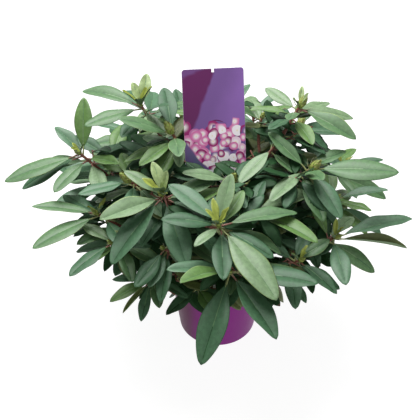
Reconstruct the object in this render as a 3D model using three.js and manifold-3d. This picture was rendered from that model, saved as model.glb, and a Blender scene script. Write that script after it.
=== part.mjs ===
// A rhododendron growing in its round nursery pot, with the big plant label stuck in the compost.
// Millimetres and degrees, +Z up. The origin is the centre of the pot's flat underside.
// Bearings run anticlockwise from +X, seen from above, and -Y is the plant's front.
import * as THREE from 'three';
import { mergeVertices } from 'three/addons/utils/BufferGeometryUtils.js';
import Module from 'manifold-3d';

const wasm = await Module();
wasm.setup();

// ---------------------------------------------------------------- driving dimensions

const GAP = 0.3; // clearance between pieces that touch
const MERGE = 2e-3; // vertices closer than this are one
const SLIVER = 0.05; // faces thinner than this are taken up by their neighbours
const NUDGE = 0.08; // step by which a mass's pieces are shifted until no two of them only just touch
const NUDGES = 12;

const POT = {
  footRadius: 67.5,
  rimRadius: 84,
  height: 150,
  wall: 2.6,
  floor: 3,
  edgeRound: 3,
  lipOut: 4,
  lipHeight: 13,
  holes: 6,
  holeRadius: 4.5,
  holeCircle: 47,
  holeSides: 6,
  segments: 24,
};

const COMPOST = { top: 136, crown: 2, flatRadius: 22 };

const STEM = {
  foot: 138.3,
  top: 193,
  flareRadius: 13.5,
  flareHeight: 9,
  radius: 9.6,
  topRadius: 8,
  leanX: 1.5,
  sides: 10,
};

const LABEL = {
  width: 99.5,
  height: 176,
  thickness: 1.2,
  corner: 5,
  notchWidth: 4,
  notchDepth: 6,
  shoulder: 26,
  tailWidth: 8,
  tailOffset: -8, // of the tail from the middle of the card
  tailLength: 186,
  top: new THREE.Vector3(-9, 115, 457), // middle of its top edge
  lean: 28,
  yaw: 8,
  roll: -1.7,
  openFace: 140, // no leaf hangs closer than this in front of the card's printed face
  openHeight: 148, // of the card, from its top edge
  openTilt: 13, // degrees by which the open space slopes up, away from the face
};

const BOUGH = { baseRadius: 3.8, tipRadius: 3.3, sides: 5, steps: 5, outset: 34, share: 0.52 };
const TWIG = { radius: 3.2, tipRadius: 2.7, sides: 3, turn: 0.5, steps: 3, stemLength: 14 };

const LEAF = {
  petiole: 0.14, // share of the leaf's length
  sections: [0.38, 0.72], // where along the leaf its blade is set out
  fewSections: [0.5], // the same on a small or hidden leaf
  petioleRadius: 1.1,
  width: 0.32, // of the leaf's length
  widest: 1.1, // above 1, the blade is widest beyond its middle
  taper: 1.15, // how slowly it widens from its base
  blunt: 0.5, // how much fuller it is towards its tip
  thickness: 0.013, // of the leaf's length
  fold: 0.1, // how far the halves rise from the midrib, of the half width
  arch: 0.05, // rise of the middle over the chord, of the length
  whorlDepth: 12, // the middle of a whorl below its shoot's tip
  spacing: 2.2, // along the shoot, from leaf to leaf
  goldenAngle: 137.5,
};

const YOUNG = { width: 0.24, broad: 0.34, broadFrom: 50, rise: 40, riseStep: 12 };
// Last year's whorl, lower on the shoot.
const OLDER = { count: 2, from: 0.5, step: 0.14, rise: -6, share: 0.9 };
const BUDS = {
  flower: { radius: 6, length: 25 },
  growth: { radius: 3.6, length: 17 },
  small: { radius: 3, length: 12 },
};
const BUD_SIDES = 4;

// Clearances between a leaf's middle surface and what it may not touch.
const CLEAR = { leaf: 6.4, limb: 3.6, bud: 2.5, label: 4.5, pot: 6 };
// Turns and lifts that are tried when a leaf's own place is taken, with the share of its length.
const TURNS = [
  [0, 0, 1], [10, 6, 1], [-10, 6, 1], [16, -8, 1], [-16, -8, 1], [24, 12, 0.95], [-24, 12, 0.95],
  [0, 22, 0.95], [0, -22, 0.95], [36, -4, 0.9], [-36, -4, 0.9], [30, 24, 0.85], [-30, 24, 0.85],
  [50, -14, 0.8], [-50, -14, 0.8],
];

// Each mass of foliage grows on a bough, which leaves the stem at its socket's bearing and height.
// A shoot has its tip at bearing, reach and height, an adult leaf length, a number of leaves, the
// bearing that its spiral of leaves starts from, its bud, and a tuft of young leaves by number,
// length and first bearing. Its set leaves, each with bearing, rise and length, come first, and the
// spiral fills in. An inner shoot fills the crown's depths with plainer leaves.
const MASSES = [
  { name: 'left_crest', socket: [142, 176], shoots: [
    { at: [145, 150, 405], leaf: 90, count: 9, lead: 200, bud: 'growth', young: [6, 54, 70], set: [
      [155, 5, 110], [210, 5, 100], [305, -5, 70]] },
    { at: [155, 80, 390], leaf: 85, count: 9, lead: 280, bud: 'flower', set: [
      [100, 25, 95], [180, 25, 95]] },
  ] },
  { name: 'left_high', socket: [163, 163], shoots: [
    { at: [170, 225, 345], leaf: 90, count: 10, lead: 330, bud: 'growth', young: [4, 28, 90], set: [
      [200, -5, 125], [190, -25, 110], [75, 45, 100], [130, 20, 75]] },
    { at: [150, 215, 290], leaf: 90, count: 9, lead: 150, bud: 'small' },
    { at: [175, 185, 260], inner: true, leaf: 80, count: 7, lead: 240, bud: 'small' },
  ] },
  { name: 'left_middle', socket: [200, 176], shoots: [
    { at: [190, 140, 340], leaf: 85, count: 9, lead: 120, bud: 'flower', set: [[205, 10, 85]] },
    { at: [220, 110, 350], leaf: 95, count: 10, lead: 40, bud: 'growth', young: [6, 54, 110], set: [
      [235, -15, 130], [290, -20, 115], [210, 5, 105]] },
    { at: [195, 105, 250], inner: true, leaf: 80, count: 7, lead: 130, bud: 'small' },
  ] },
  { name: 'left_low', socket: [196, 150], shoots: [
    { at: [195, 195, 295], leaf: 90, count: 7, lead: 20, bud: 'growth', young: [3, 28, 60], set: [
      [180, 15, 105], [215, 0, 115], [140, 5, 80]] },
    { at: [210, 190, 275], leaf: 80, count: 9, lead: 330, bud: 'small', set: [[230, 5, 90]] },
    { at: [185, 165, 225], inner: true, leaf: 75, count: 7, lead: 200, bud: 'small' },
  ] },
  { name: 'front_left_low', socket: [228, 163], shoots: [
    { at: [235, 145, 285], leaf: 75, count: 8, lead: 300, bud: 'small', set: [[240, 0, 80]] },
    { at: [230, 170, 225], leaf: 70, count: 8, lead: 290, bud: 'small', set: [
      [240, 5, 70], [260, 0, 60]] },
    { at: [255, 125, 200], leaf: 65, count: 6, lead: 320, bud: 'small', set: [
      [230, 10, 75], [295, 15, 65]] },
    { at: [225, 95, 215], inner: true, leaf: 80, count: 7, lead: 250, bud: 'small' },
  ] },
  { name: 'front', socket: [302, 176], shoots: [
    { at: [270, 140, 350], leaf: 95, count: 11, lead: 230, bud: 'growth', young: [5, 42, 100], set: [
      [305, -10, 140], [20, 0, 125], [135, 15, 110], [75, 35, 90], [45, 25, 80], [225, 5, 50]] },
    { at: [300, 100, 330], leaf: 80, count: 8, lead: 70, bud: 'small', set: [
      [30, 0, 120], [325, 5, 115]] },
    { at: [325, 90, 250], inner: true, leaf: 80, count: 7, lead: 330, bud: 'small' },
  ] },
  { name: 'front_low', socket: [302, 150], shoots: [
    { at: [275, 185, 300], leaf: 100, count: 10, lead: 110, bud: 'small', set: [
      [250, -25, 135], [300, -5, 125], [345, 10, 130], [215, 25, 95]] },
    { at: [315, 175, 265], leaf: 75, count: 9, lead: 20, bud: 'growth', young: [3, 26, 60], set: [
      [315, -5, 75]] },
    { at: [310, 150, 235], leaf: 65, count: 6, lead: 10, bud: 'small', set: [
      [245, 10, 70], [305, -5, 65]] },
    { at: [285, 110, 225], inner: true, leaf: 80, count: 7, lead: 260, bud: 'small' },
  ] },
  { name: 'centre', socket: [335, 163], shoots: [
    { at: [305, 35, 345], leaf: 85, count: 9, lead: 270, bud: 'flower', set: [
      [150, 10, 95], [180, 20, 85]] },
    { at: [20, 95, 365], leaf: 75, count: 8, lead: 300, bud: 'small', set: [[230, -5, 90]] },
    { at: [10, 80, 290], inner: true, leaf: 80, count: 6, lead: 330, bud: 'small' },
    { at: [240, 40, 300], inner: true, leaf: 70, count: 6, lead: 20, bud: 'small' },
  ] },
  { name: 'right_high', socket: [20, 176], shoots: [
    { at: [355, 145, 355], leaf: 85, count: 10, lead: 60, bud: 'flower', set: [
      [350, 10, 135], [295, -10, 95], [130, 20, 95], [215, -5, 95]] },
    { at: [35, 160, 400], leaf: 80, count: 10, lead: 250, bud: 'flower', young: [3, 34, 80], set: [
      [325, -5, 105], [345, 0, 90], [135, 10, 75]] },
    { at: [55, 125, 370], leaf: 75, count: 8, lead: 190, bud: 'small' },
  ] },
  { name: 'right_low', socket: [350, 150], shoots: [
    { at: [335, 200, 275], leaf: 80, count: 9, lead: 230, bud: 'growth', young: [3, 30, 90], set: [
      [15, 10, 130], [0, -5, 115], [275, 0, 90]] },
    { at: [10, 200, 255], leaf: 85, count: 9, lead: 320, bud: 'small', set: [[5, 15, 90]] },
    { at: [340, 150, 220], inner: true, leaf: 75, count: 7, lead: 310, bud: 'small' },
  ] },
  { name: 'back_right', socket: [50, 150], shoots: [
    { at: [50, 220, 305], leaf: 90, count: 8, lead: 65, bud: 'flower' },
    { at: [30, 245, 245], leaf: 95, count: 8, lead: 10, bud: 'growth', young: [4, 34, 30] },
    { at: [70, 250, 240], leaf: 90, count: 8, lead: 75, bud: 'small' },
  ] },
  { name: 'back', socket: [82, 176], shoots: [
    { at: [90, 150, 350], leaf: 90, count: 8, lead: 120, bud: 'growth', young: [4, 36, 0] },
    { at: [70, 190, 325], leaf: 90, count: 8, lead: 40, bud: 'flower' },
    { at: [90, 235, 270], leaf: 95, count: 8, lead: 85, bud: 'small' },
    { at: [90, 160, 210], inner: true, leaf: 85, count: 7, lead: 70, bud: 'small' },
  ] },
  { name: 'back_left', socket: [118, 150], shoots: [
    { at: [110, 180, 325], leaf: 85, count: 8, lead: 100, bud: 'small' },
    { at: [130, 225, 290], leaf: 90, count: 8, lead: 160, bud: 'growth', young: [4, 34, 50] },
    { at: [110, 255, 230], leaf: 90, count: 8, lead: 115, bud: 'small' },
    { at: [150, 250, 220], leaf: 95, count: 8, lead: 165, bud: 'flower' },
  ] },
];

const COLOURS = {
  pot: { color: 0x66275a, roughness: 0.42, metalness: 0 },
  compost: { color: 0x2b1d14, roughness: 0.95, metalness: 0 },
  bark: { color: 0x6b4a33, roughness: 0.8, metalness: 0 },
  leaf: { color: 0x4d7a52, roughness: 0.5, metalness: 0 },
  label: { color: 0x7a5a9a, roughness: 0.35, metalness: 0 },
};

// ---------------------------------------------------------------- geometry helpers

const rad = THREE.MathUtils.degToRad;
const UP = new THREE.Vector3(0, 0, 1);

// The unit vector at a bearing, rising from the horizontal.
function aim(bearing, rise) {
  const flat = Math.cos(rad(rise));
  const [x, y] = [flat * Math.cos(rad(bearing)), flat * Math.sin(rad(bearing))];
  return new THREE.Vector3(x, y, Math.sin(rad(rise)));
}

function polar(bearing, reach, height) {
  return new THREE.Vector3(reach * Math.cos(rad(bearing)), reach * Math.sin(rad(bearing)), height);
}

// A closed geometry as a solid, with its faces turned outwards.
function solidOf(geometry) {
  geometry.deleteAttribute('normal');
  geometry.deleteAttribute('uv');
  const merged = mergeVertices(geometry, MERGE);
  const index = merged.index.array;
  const points = merged.attributes.position.array;
  const faces = [];
  let volume = 0;
  const [a, b, c] = [new THREE.Vector3(), new THREE.Vector3(), new THREE.Vector3()];
  for (let i = 0; i < index.length; i += 3) {
    const [p, q, r] = [index[i], index[i + 1], index[i + 2]];
    if (p === q || q === r || r === p) continue;
    faces.push(p, q, r);
    a.fromArray(points, 3 * p);
    b.fromArray(points, 3 * q);
    c.fromArray(points, 3 * r);
    volume += a.dot(b.cross(c));
  }
  if (volume < 0) faces.reverse();
  return new wasm.Manifold(new wasm.Mesh({
    numProp: 3,
    vertProperties: new Float32Array(points),
    triVerts: new Uint32Array(faces),
  }));
}

function geometryOf(solid) {
  const mesh = solid.getMesh();
  const geometry = new THREE.BufferGeometry();
  geometry.setAttribute('position', new THREE.BufferAttribute(new Float32Array(mesh.vertProperties), 3));
  geometry.setIndex(new THREE.BufferAttribute(new Uint32Array(mesh.triVerts), 1));
  geometry.computeVertexNormals();
  return geometry;
}

// Skins a row of rings with equal numbers of points. A ring of one point makes a tip; a wider
// first or last ring is closed flat.
function loft(rings) {
  const sides = Math.max(...rings.map((ring) => ring.length));
  const points = rings.flat();
  const starts = [];
  rings.reduce((start, ring) => {
    starts.push(start);
    return start + ring.length;
  }, 0);
  const faces = [];
  for (let k = 0; k + 1 < rings.length; k++) {
    const [low, high] = [starts[k], starts[k + 1]];
    for (let i = 0; i < sides; i++) {
      const j = (i + 1) % sides;
      if (rings[k + 1].length === 1) faces.push(low + i, low + j, high);
      else if (rings[k].length === 1) faces.push(low, high + j, high + i);
      else faces.push(low + i, low + j, high + j, low + i, high + j, high + i);
    }
  }
  const last = starts[rings.length - 1];
  for (let i = 1; i + 1 < sides; i++) {
    if (rings[0].length > 1) faces.push(0, i + 1, i);
    if (rings[rings.length - 1].length > 1) faces.push(last, last + i, last + i + 1);
  }
  const geometry = new THREE.BufferGeometry().setFromPoints(points);
  geometry.setIndex(faces);
  return geometry;
}

// A ring of points round a centre, square to a direction.
function ring(centre, direction, radius, sides, phase = 0) {
  const side = new THREE.Vector3().crossVectors(UP, direction);
  if (side.length() < 1e-3) side.set(1, 0, 0);
  side.normalize();
  const over = new THREE.Vector3().crossVectors(direction, side).normalize();
  return Array.from({ length: sides }, (_, i) => {
    const turn = phase + (2 * Math.PI * i) / sides;
    return centre.clone()
      .addScaledVector(side, radius * Math.cos(turn))
      .addScaledVector(over, radius * Math.sin(turn));
  });
}

// ---------------------------------------------------------------- pot, compost and stem

function revolve(profile, segments) {
  return new THREE.LatheGeometry(profile, segments).rotateX(Math.PI / 2);
}

function potRadius(z) {
  return POT.footRadius + ((POT.rimRadius - POT.footRadius) * z) / POT.height;
}

function makePot() {
  const round = POT.edgeRound;
  const under = POT.footRadius - round;
  const profile = [new THREE.Vector2(0, 0)];
  for (let i = 0; i <= 3; i++) {
    const turn = (i * Math.PI) / 6;
    profile.push(new THREE.Vector2(under + round * Math.sin(turn), round * (1 - Math.cos(turn))));
  }
  const lipFoot = POT.height - POT.lipHeight;
  const lip = POT.rimRadius + POT.lipOut;
  profile.push(
    new THREE.Vector2(potRadius(lipFoot), lipFoot),
    new THREE.Vector2(lip - 1, lipFoot),
    new THREE.Vector2(lip, POT.height - 2),
    new THREE.Vector2(lip - 2, POT.height),
    new THREE.Vector2(POT.rimRadius - POT.wall, POT.height),
    new THREE.Vector2(potRadius(round) - POT.wall, round),
    new THREE.Vector2(under, POT.floor),
    new THREE.Vector2(0, POT.floor),
  );
  let pot = solidOf(revolve(profile, POT.segments));
  for (let i = 0; i < POT.holes; i++) {
    const hole = new THREE.CylinderGeometry(POT.holeRadius, POT.holeRadius, 3 * POT.floor, POT.holeSides)
      .rotateX(Math.PI / 2)
      .translate(...polar((360 * i) / POT.holes, POT.holeCircle, POT.floor).toArray());
    pot = pot.subtract(solidOf(hole));
  }
  return pot;
}

function makeCompost() {
  const inner = (z) => potRadius(z) - POT.wall - GAP;
  const foot = POT.edgeRound;
  const profile = [
    new THREE.Vector2(0, POT.floor + GAP),
    new THREE.Vector2(POT.footRadius - foot - GAP, POT.floor + GAP),
    new THREE.Vector2(inner(foot) - GAP, foot + GAP),
    new THREE.Vector2(inner(COMPOST.top - 6), COMPOST.top - 6),
    new THREE.Vector2(inner(COMPOST.top) - 10, COMPOST.top - 1.5),
    new THREE.Vector2(COMPOST.flatRadius, COMPOST.top + COMPOST.crown),
    new THREE.Vector2(0, COMPOST.top + COMPOST.crown),
  ];
  return solidOf(revolve(profile, POT.segments)).subtract(placeLabel(makeTail(2 * GAP)));
}

// The stem's skin, grown by a margin for cutting the boughs clear of it.
function makeStem(margin) {
  const levels = [
    [0, STEM.flareRadius],
    [STEM.flareHeight * 0.4, (STEM.flareRadius + STEM.radius) / 2],
    [STEM.flareHeight, STEM.radius],
    [(STEM.top - STEM.foot) * 0.8, STEM.radius * 0.96],
    [STEM.top - STEM.foot + margin, STEM.topRadius],
  ];
  const height = STEM.top - STEM.foot;
  const rings = levels.map(([up, radius]) => ring(
    new THREE.Vector3((STEM.leanX * up) / height, 0, STEM.foot + up), UP, radius + margin, STEM.sides));
  return solidOf(loft(rings));
}

// ---------------------------------------------------------------- plant label

function roundedCard(width, height, corner) {
  const half = width / 2;
  const shape = new THREE.Shape();
  shape.moveTo(LABEL.tailOffset - LABEL.tailWidth / 2, -height - LABEL.shoulder);
  shape.lineTo(LABEL.tailOffset + LABEL.tailWidth / 2, -height - LABEL.shoulder);
  shape.lineTo(half - corner, -height);
  shape.lineTo(half, -height + corner);
  shape.lineTo(half, -corner);
  shape.absarc(half - corner, -corner, corner, 0, Math.PI / 2);
  shape.lineTo(LABEL.notchWidth / 2, 0);
  shape.lineTo(LABEL.notchWidth / 2, -LABEL.notchDepth);
  shape.lineTo(-LABEL.notchWidth / 2, -LABEL.notchDepth);
  shape.lineTo(-LABEL.notchWidth / 2, 0);
  shape.absarc(-half + corner, -corner, corner, Math.PI / 2, Math.PI);
  shape.lineTo(-half, -height + corner);
  shape.lineTo(-half + corner, -height);
  shape.closePath();
  return shape;
}

// The tail in the card's own plane, grown by a margin for the slot that it stands in.
function makeTail(margin) {
  const top = -LABEL.height - LABEL.shoulder + 4;
  const tail = new THREE.BoxGeometry(
    LABEL.tailWidth + margin, LABEL.tailLength + margin, LABEL.thickness + margin);
  return tail.translate(LABEL.tailOffset, top - LABEL.tailLength / 2, 0);
}

// Turns and moves a geometry from the card's plane to where the label stands.
function placeLabel(geometry) {
  geometry.rotateZ(rad(LABEL.roll));
  geometry.rotateX(rad(90 - LABEL.lean));
  geometry.rotateZ(rad(LABEL.yaw));
  geometry.translate(LABEL.top.x, LABEL.top.y, LABEL.top.z);
  return solidOf(geometry);
}

function makeLabel() {
  const card = new THREE.ExtrudeGeometry(
    roundedCard(LABEL.width, LABEL.height, LABEL.corner),
    { depth: LABEL.thickness, bevelEnabled: false, curveSegments: 4 },
  ).translate(0, 0, -LABEL.thickness / 2);
  return placeLabel(card).add(placeLabel(makeTail(0)));
}

// A point in the card's own plane: x across it, y up it and z out of its face.
function onLabel(point) {
  return point.clone()
    .sub(LABEL.top)
    .applyAxisAngle(UP, -rad(LABEL.yaw))
    .applyAxisAngle(new THREE.Vector3(1, 0, 0), -rad(90 - LABEL.lean))
    .applyAxisAngle(UP, -rad(LABEL.roll));
}

// ---------------------------------------------------------------- the growth rule

// Steady pseudo-random numbers from 0 to 1, the same for the same seed.
class Draw {
  constructor(seed) {
    this.state = (seed * 2654435761) >>> 0;
  }

  next() {
    this.state = (Math.imul(this.state, 1664525) + 1013904223) >>> 0;
    return this.state / 4294967296;
  }

  spread(width) {
    return width * (2 * this.next() - 1);
  }
}

// Points in cells, for finding what lies near a point.
class Neighbours {
  constructor(cell) {
    this.cell = cell;
    this.cells = new Map();
  }

  key(x, y, z) {
    return `${Math.floor(x / this.cell)},${Math.floor(y / this.cell)},${Math.floor(z / this.cell)}`;
  }

  add(point, margin, owner) {
    const key = this.key(point.x, point.y, point.z);
    if (!this.cells.has(key)) this.cells.set(key, []);
    this.cells.get(key).push({ point, margin, owner });
  }

  // True if something of another owner is nearer than its margin.
  touches(point, owner) {
    const step = this.cell;
    for (const dx of [-step, 0, step]) {
      for (const dy of [-step, 0, step]) {
        for (const dz of [-step, 0, step]) {
          const found = this.cells.get(this.key(point.x + dx, point.y + dy, point.z + dz)) ?? [];
          if (found.some((other) => other.owner !== owner
            && other.point.distanceTo(point) < other.margin)) return true;
        }
      }
    }
    return false;
  }
}

function bezier(start, startAim, end, endAim, steps) {
  const span = start.distanceTo(end);
  const curve = new THREE.CubicBezierCurve3(
    start,
    start.clone().addScaledVector(startAim, 0.36 * span),
    end.clone().addScaledVector(endAim, -0.36 * span),
    end,
  );
  return Array.from({ length: steps + 1 }, (_, i) => ({
    point: curve.getPoint(i / steps),
    along: curve.getTangent(i / steps),
  }));
}

function limb(path, radius, tipRadius, sides, phase = 0) {
  return solidOf(loft(path.map(({ point, along }, i) => ring(
    point, along, radius + ((tipRadius - radius) * i) / (path.length - 1), sides, phase))));
}

// A shoot leans outwards, more so the further out it stands.
function shootAim(shoot) {
  return aim(shoot.at[0], 66 - 0.1 * shoot.at[1]);
}

// Where a mass's bough and shoots run.
function plan(mass) {
  const tips = mass.shoots.map((shoot) => polar(...shoot.at));
  const middle = tips.reduce((sum, tip) => sum.add(tip), new THREE.Vector3()).divideScalar(tips.length);
  const [bearing, height] = mass.socket;
  const socket = new THREE.Vector3(0, 0, height);
  const fork = socket.clone().lerp(middle, BOUGH.share);
  const away = middle.clone().sub(fork).normalize();
  const end = fork.clone().addScaledVector(away, -TWIG.stemLength);
  const bough = bezier(socket, aim(bearing, BOUGH.outset), end, away, BOUGH.steps);
  const stem = [
    { point: end.clone().addScaledVector(away, GAP), along: away },
    { point: fork, along: away },
  ];
  const twigs = mass.shoots.map((shoot, i) => bezier(
    fork, away, tips[i], shootAim(shoot), TWIG.steps));
  return { bough, stem, twigs, tips };
}

// A leaf from its root to its tip. Its chord has a bearing and a rise; its blade arches over it.
function leafFrame(root, tip, roll) {
  const along = tip.clone().sub(root);
  const length = along.length();
  along.normalize();
  const across = new THREE.Vector3().crossVectors(UP, along).normalize();
  across.applyAxisAngle(along, rad(roll));
  const over = new THREE.Vector3().crossVectors(along, across).normalize();
  return { root, along, across, over, length };
}

// A point of the leaf's middle surface: t along it from root to tip, s across it from -1 to 1.
function leafPoint(leaf, t, s, halfWidth) {
  const rise = LEAF.arch * leaf.length * 4 * t * (1 - t) + LEAF.fold * Math.abs(s) * halfWidth;
  return leaf.root.clone()
    .addScaledVector(leaf.along, t * leaf.length)
    .addScaledVector(leaf.across, s * halfWidth)
    .addScaledVector(leaf.over, rise);
}

// Half the blade's width at t, for an oblong blade with a short point.
function halfWidth(leaf, t) {
  if (t <= LEAF.petiole) return LEAF.petioleRadius;
  const u = (t - LEAF.petiole) / (1 - LEAF.petiole);
  const bulge = Math.sin(Math.PI * u ** LEAF.widest) ** (LEAF.taper - LEAF.blunt * u);
  return LEAF.petioleRadius + (leaf.width * leaf.length * bulge) / 2;
}

// The largest body of a joined solid: scraps are dropped, and a hollow sealed by joining is filled.
function largestBody(solid) {
  return solid.decompose().reduce((best, body) => (body.volume() > best.volume() ? body : best));
}

// The same once more on 32-bit vertices, without the slivers that joining leaves.
function wholeBody(solid) {
  return largestBody(solidOf(geometryOf(largestBody(solid).simplify(SLIVER))));
}

// True if an edge belongs to more than two faces, as where two pieces only just touch.
function isPinched(solid, grid) {
  const { vertProperties, triVerts } = solid.getMesh();
  const keyOf = (v) => [0, 1, 2].map((i) => Math.round(vertProperties[3 * v + i] / grid)).join();
  const edges = new Map();
  for (let i = 0; i < triVerts.length; i += 3) {
    const keys = [0, 1, 2].map((k) => keyOf(triVerts[i + k]));
    if (new Set(keys).size < 3) continue;
    keys.forEach((key, k) => {
      const edge = [key, keys[(k + 1) % 3]].sort().join(' ');
      edges.set(edge, (edges.get(edge) ?? 0) + 1);
    });
  }
  return [...edges.values()].some((faces) => faces !== 2);
}

// A leaf is flat above and keeled below, with its two edges a little over its midrib.
function makeLeaf({ ...leaf }, nudge) {
  leaf.root = leaf.root.clone().addScaledVector(leaf.across, nudge);
  const thick = leaf.length * LEAF.thickness;
  const section = (t, half, depth) => [
    leafPoint(leaf, t, -1, half),
    leafPoint(leaf, t, 0, half).addScaledVector(leaf.over, -depth),
    leafPoint(leaf, t, 1, half),
  ];
  const stalk = LEAF.petioleRadius;
  const sections = [leaf.detail === 'full' ? section(0, stalk, 1.6 * stalk) : [leaf.root]];
  if (leaf.detail === 'full') sections.push(section(LEAF.petiole, stalk, 1.6 * stalk));
  const places = leaf.detail === 'few' ? LEAF.fewSections : LEAF.sections;
  places.forEach((t) => sections.push(section(t, halfWidth(leaf, t), thick)));
  return solidOf(loft([...sections, [leafPoint(leaf, 1, 0, 0)]]));
}

function makeBud(tip, along, { radius, length }) {
  const at = (share, r) => ring(tip.clone().addScaledVector(along, share * length), along, r, BUD_SIDES);
  return solidOf(loft([
    at(-0.2, radius * 0.45),
    at(0.35, radius),
    [tip.clone().addScaledVector(along, length)],
  ]));
}

const SAMPLES_ALONG = [0.2, 0.3, 0.4, 0.5, 0.6, 0.7, 0.8, 0.9, 1];
const SAMPLES_ACROSS = [-0.95, -0.5, 0, 0.5, 0.95];

function leafSamples(leaf) {
  return SAMPLES_ALONG.flatMap((t) => SAMPLES_ACROSS.map((s) => leafPoint(leaf, t, s, halfWidth(leaf, t))));
}

function hitsFixed(point) {
  const flat = Math.hypot(point.x, point.y);
  if (point.z < POT.height + CLEAR.pot && flat < POT.rimRadius + POT.lipOut + CLEAR.pot) return true;
  const card = onLabel(point);
  const level = card.y - card.z * Math.tan(rad(LABEL.openTilt));
  const open = level > -LABEL.openHeight && card.y < LABEL.openFace ? LABEL.openFace : CLEAR.label;
  if (card.z < -CLEAR.label || card.z > open || card.y > CLEAR.label) return false;
  if (card.y > -LABEL.height - LABEL.shoulder) return Math.abs(card.x) < LABEL.width / 2 + CLEAR.label;
  return Math.abs(card.x - LABEL.tailOffset) < LABEL.tailWidth / 2 + CLEAR.label;
}

// Puts a leaf where it is meant to go, or a little to the side, or leaves it out. The young leaves
// of one tuft may touch each other.
function tryLeaf(near, shoot, whorl, root, [bearing, rise, length], look) {
  for (const [turn, lift, share] of TURNS) {
    const tip = whorl.clone().addScaledVector(aim(bearing + turn, rise + lift), share * length);
    const leaf = { ...leafFrame(root, tip, look.roll), ...look };
    const samples = leafSamples(leaf);
    if (samples.some((point) => hitsFixed(point) || near.touches(point, shoot.twig))) continue;
    samples.forEach((point) => near.add(point, CLEAR.leaf, look.young ? shoot.twig : leaf));
    shoot.leaves.push(leaf);
    return;
  }
}

function bearingGap(a, b) {
  return Math.abs(((a - b + 540) % 360) - 180);
}

// Every leaf of the plant. The limbs come first, then the set leaves of all shoots, then young
// growth, then the spirals, so that no leaf crosses a limb or another leaf.
function growLeaves(plans) {
  const near = new Neighbours(9);
  plans.forEach(({ bough, twigs, stem }) => {
    [bough, stem, ...twigs].forEach((path) => addLimb(near, path));
  });
  const shoots = plans.flatMap(({ twigs, tips }, m) => MASSES[m].shoots.map((shoot, i) => ({
    young: [0, 0, 0],
    set: [],
    ...shoot,
    mass: m,
    tip: tips[i],
    twig: twigs[i],
    along: shootAim(shoot),
    draw: new Draw(100 * m + i + 7),
    leaves: [],
  })));
  const rootAt = (shoot, k) => {
    const below = shoot.twig[shoot.twig.length - 2].point;
    return shoot.tip.clone().lerp(below, (LEAF.spacing * k + 3) / shoot.tip.distanceTo(below));
  };
  const whorlOf = (shoot) => shoot.tip.clone().addScaledVector(UP, -LEAF.whorlDepth);

  shoots.forEach((shoot) => addBud(near, shoot));
  for (const shoot of shoots) {
    shoot.set.forEach((wanted, k) => {
      const look = { roll: shoot.draw.spread(12), width: leafWidth(shoot), detail: 'full' };
      tryLeaf(near, shoot, whorlOf(shoot), rootAt(shoot, k), wanted, look);
    });
  }
  for (const shoot of shoots) {
    const [count, length, first] = shoot.young;
    const width = length < YOUNG.broadFrom ? YOUNG.width : YOUNG.broad;
    for (let k = 0; k < count; k++) {
      const bearing = first + LEAF.goldenAngle * k + shoot.draw.spread(10);
      const rise = YOUNG.rise + YOUNG.riseStep * (k % 3);
      const look = { roll: shoot.draw.spread(20), width, detail: 'few', young: true };
      tryLeaf(near, shoot, shoot.tip, shoot.tip, [bearing, rise, length * (1 - 0.08 * k)], look);
    }
  }
  for (const shoot of shoots) {
    for (let k = 0; k < OLDER.count; k++) {
      const bearing = shoot.lead + 60 + LEAF.goldenAngle * k + shoot.draw.spread(12);
      const root = onPath(shoot.twig, OLDER.from + OLDER.step * k);
      const wanted = [bearing, OLDER.rise + shoot.draw.spread(12), OLDER.share * shoot.leaf];
      const look = { roll: shoot.draw.spread(10), width: leafWidth(shoot), detail: 'few' };
      tryLeaf(near, shoot, root, root, wanted, look);
    }
  }
  for (const shoot of shoots) {
    let k = shoot.set.length;
    for (let step = 0; k < shoot.count && step < 2 * shoot.count; step++) {
      const bearing = shoot.lead + LEAF.goldenAngle * step;
      const [rise, length, roll] = spiralLeaf(shoot, bearing, k / (shoot.count - 1));
      const look = { roll, width: leafWidth(shoot), detail: shoot.inner ? 'few' : 'plain' };
      if (shoot.set.some(([taken]) => bearingGap(taken, bearing) < 24)) continue;
      k += 1;
      tryLeaf(near, shoot, whorlOf(shoot), rootAt(shoot, k), [bearing, rise, length], look);
    }
  }
  return shoots;
}

// The point a share of the way along a path of equal steps.
function onPath(path, share) {
  const place = share * (path.length - 1);
  const i = Math.min(Math.floor(place), path.length - 2);
  return path[i].point.clone().lerp(path[i + 1].point, place - i);
}

function leafWidth(shoot) {
  return LEAF.width + shoot.draw.spread(0.025);
}

// Lower leaves of a whorl are longer and droop, and leaves that point inwards stand up more.
function spiralLeaf(shoot, bearing, share) {
  const outward = Math.cos(rad(bearing - shoot.at[0])) * Math.min(1, shoot.at[1] / 200);
  const rise = 26 - 46 * share - 12 * outward + shoot.draw.spread(7);
  const length = shoot.leaf * (0.84 + 0.2 * share + shoot.draw.spread(0.06));
  return [rise, length, shoot.draw.spread(14)];
}

function addLimb(near, path) {
  const thick = TWIG.radius + CLEAR.limb;
  for (let i = 0; i + 1 < path.length; i++) {
    const steps = Math.ceil(path[i].point.distanceTo(path[i + 1].point) / 4);
    for (let k = 0; k < steps; k++) {
      near.add(path[i].point.clone().lerp(path[i + 1].point, k / steps), thick, path);
    }
  }
}

function addBud(near, { tip, along, bud, twig }) {
  const { radius, length } = BUDS[bud];
  [0.3, 0.6, 0.9].forEach((share) => {
    near.add(tip.clone().addScaledVector(along, share * length), radius + CLEAR.bud, twig);
  });
}

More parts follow.
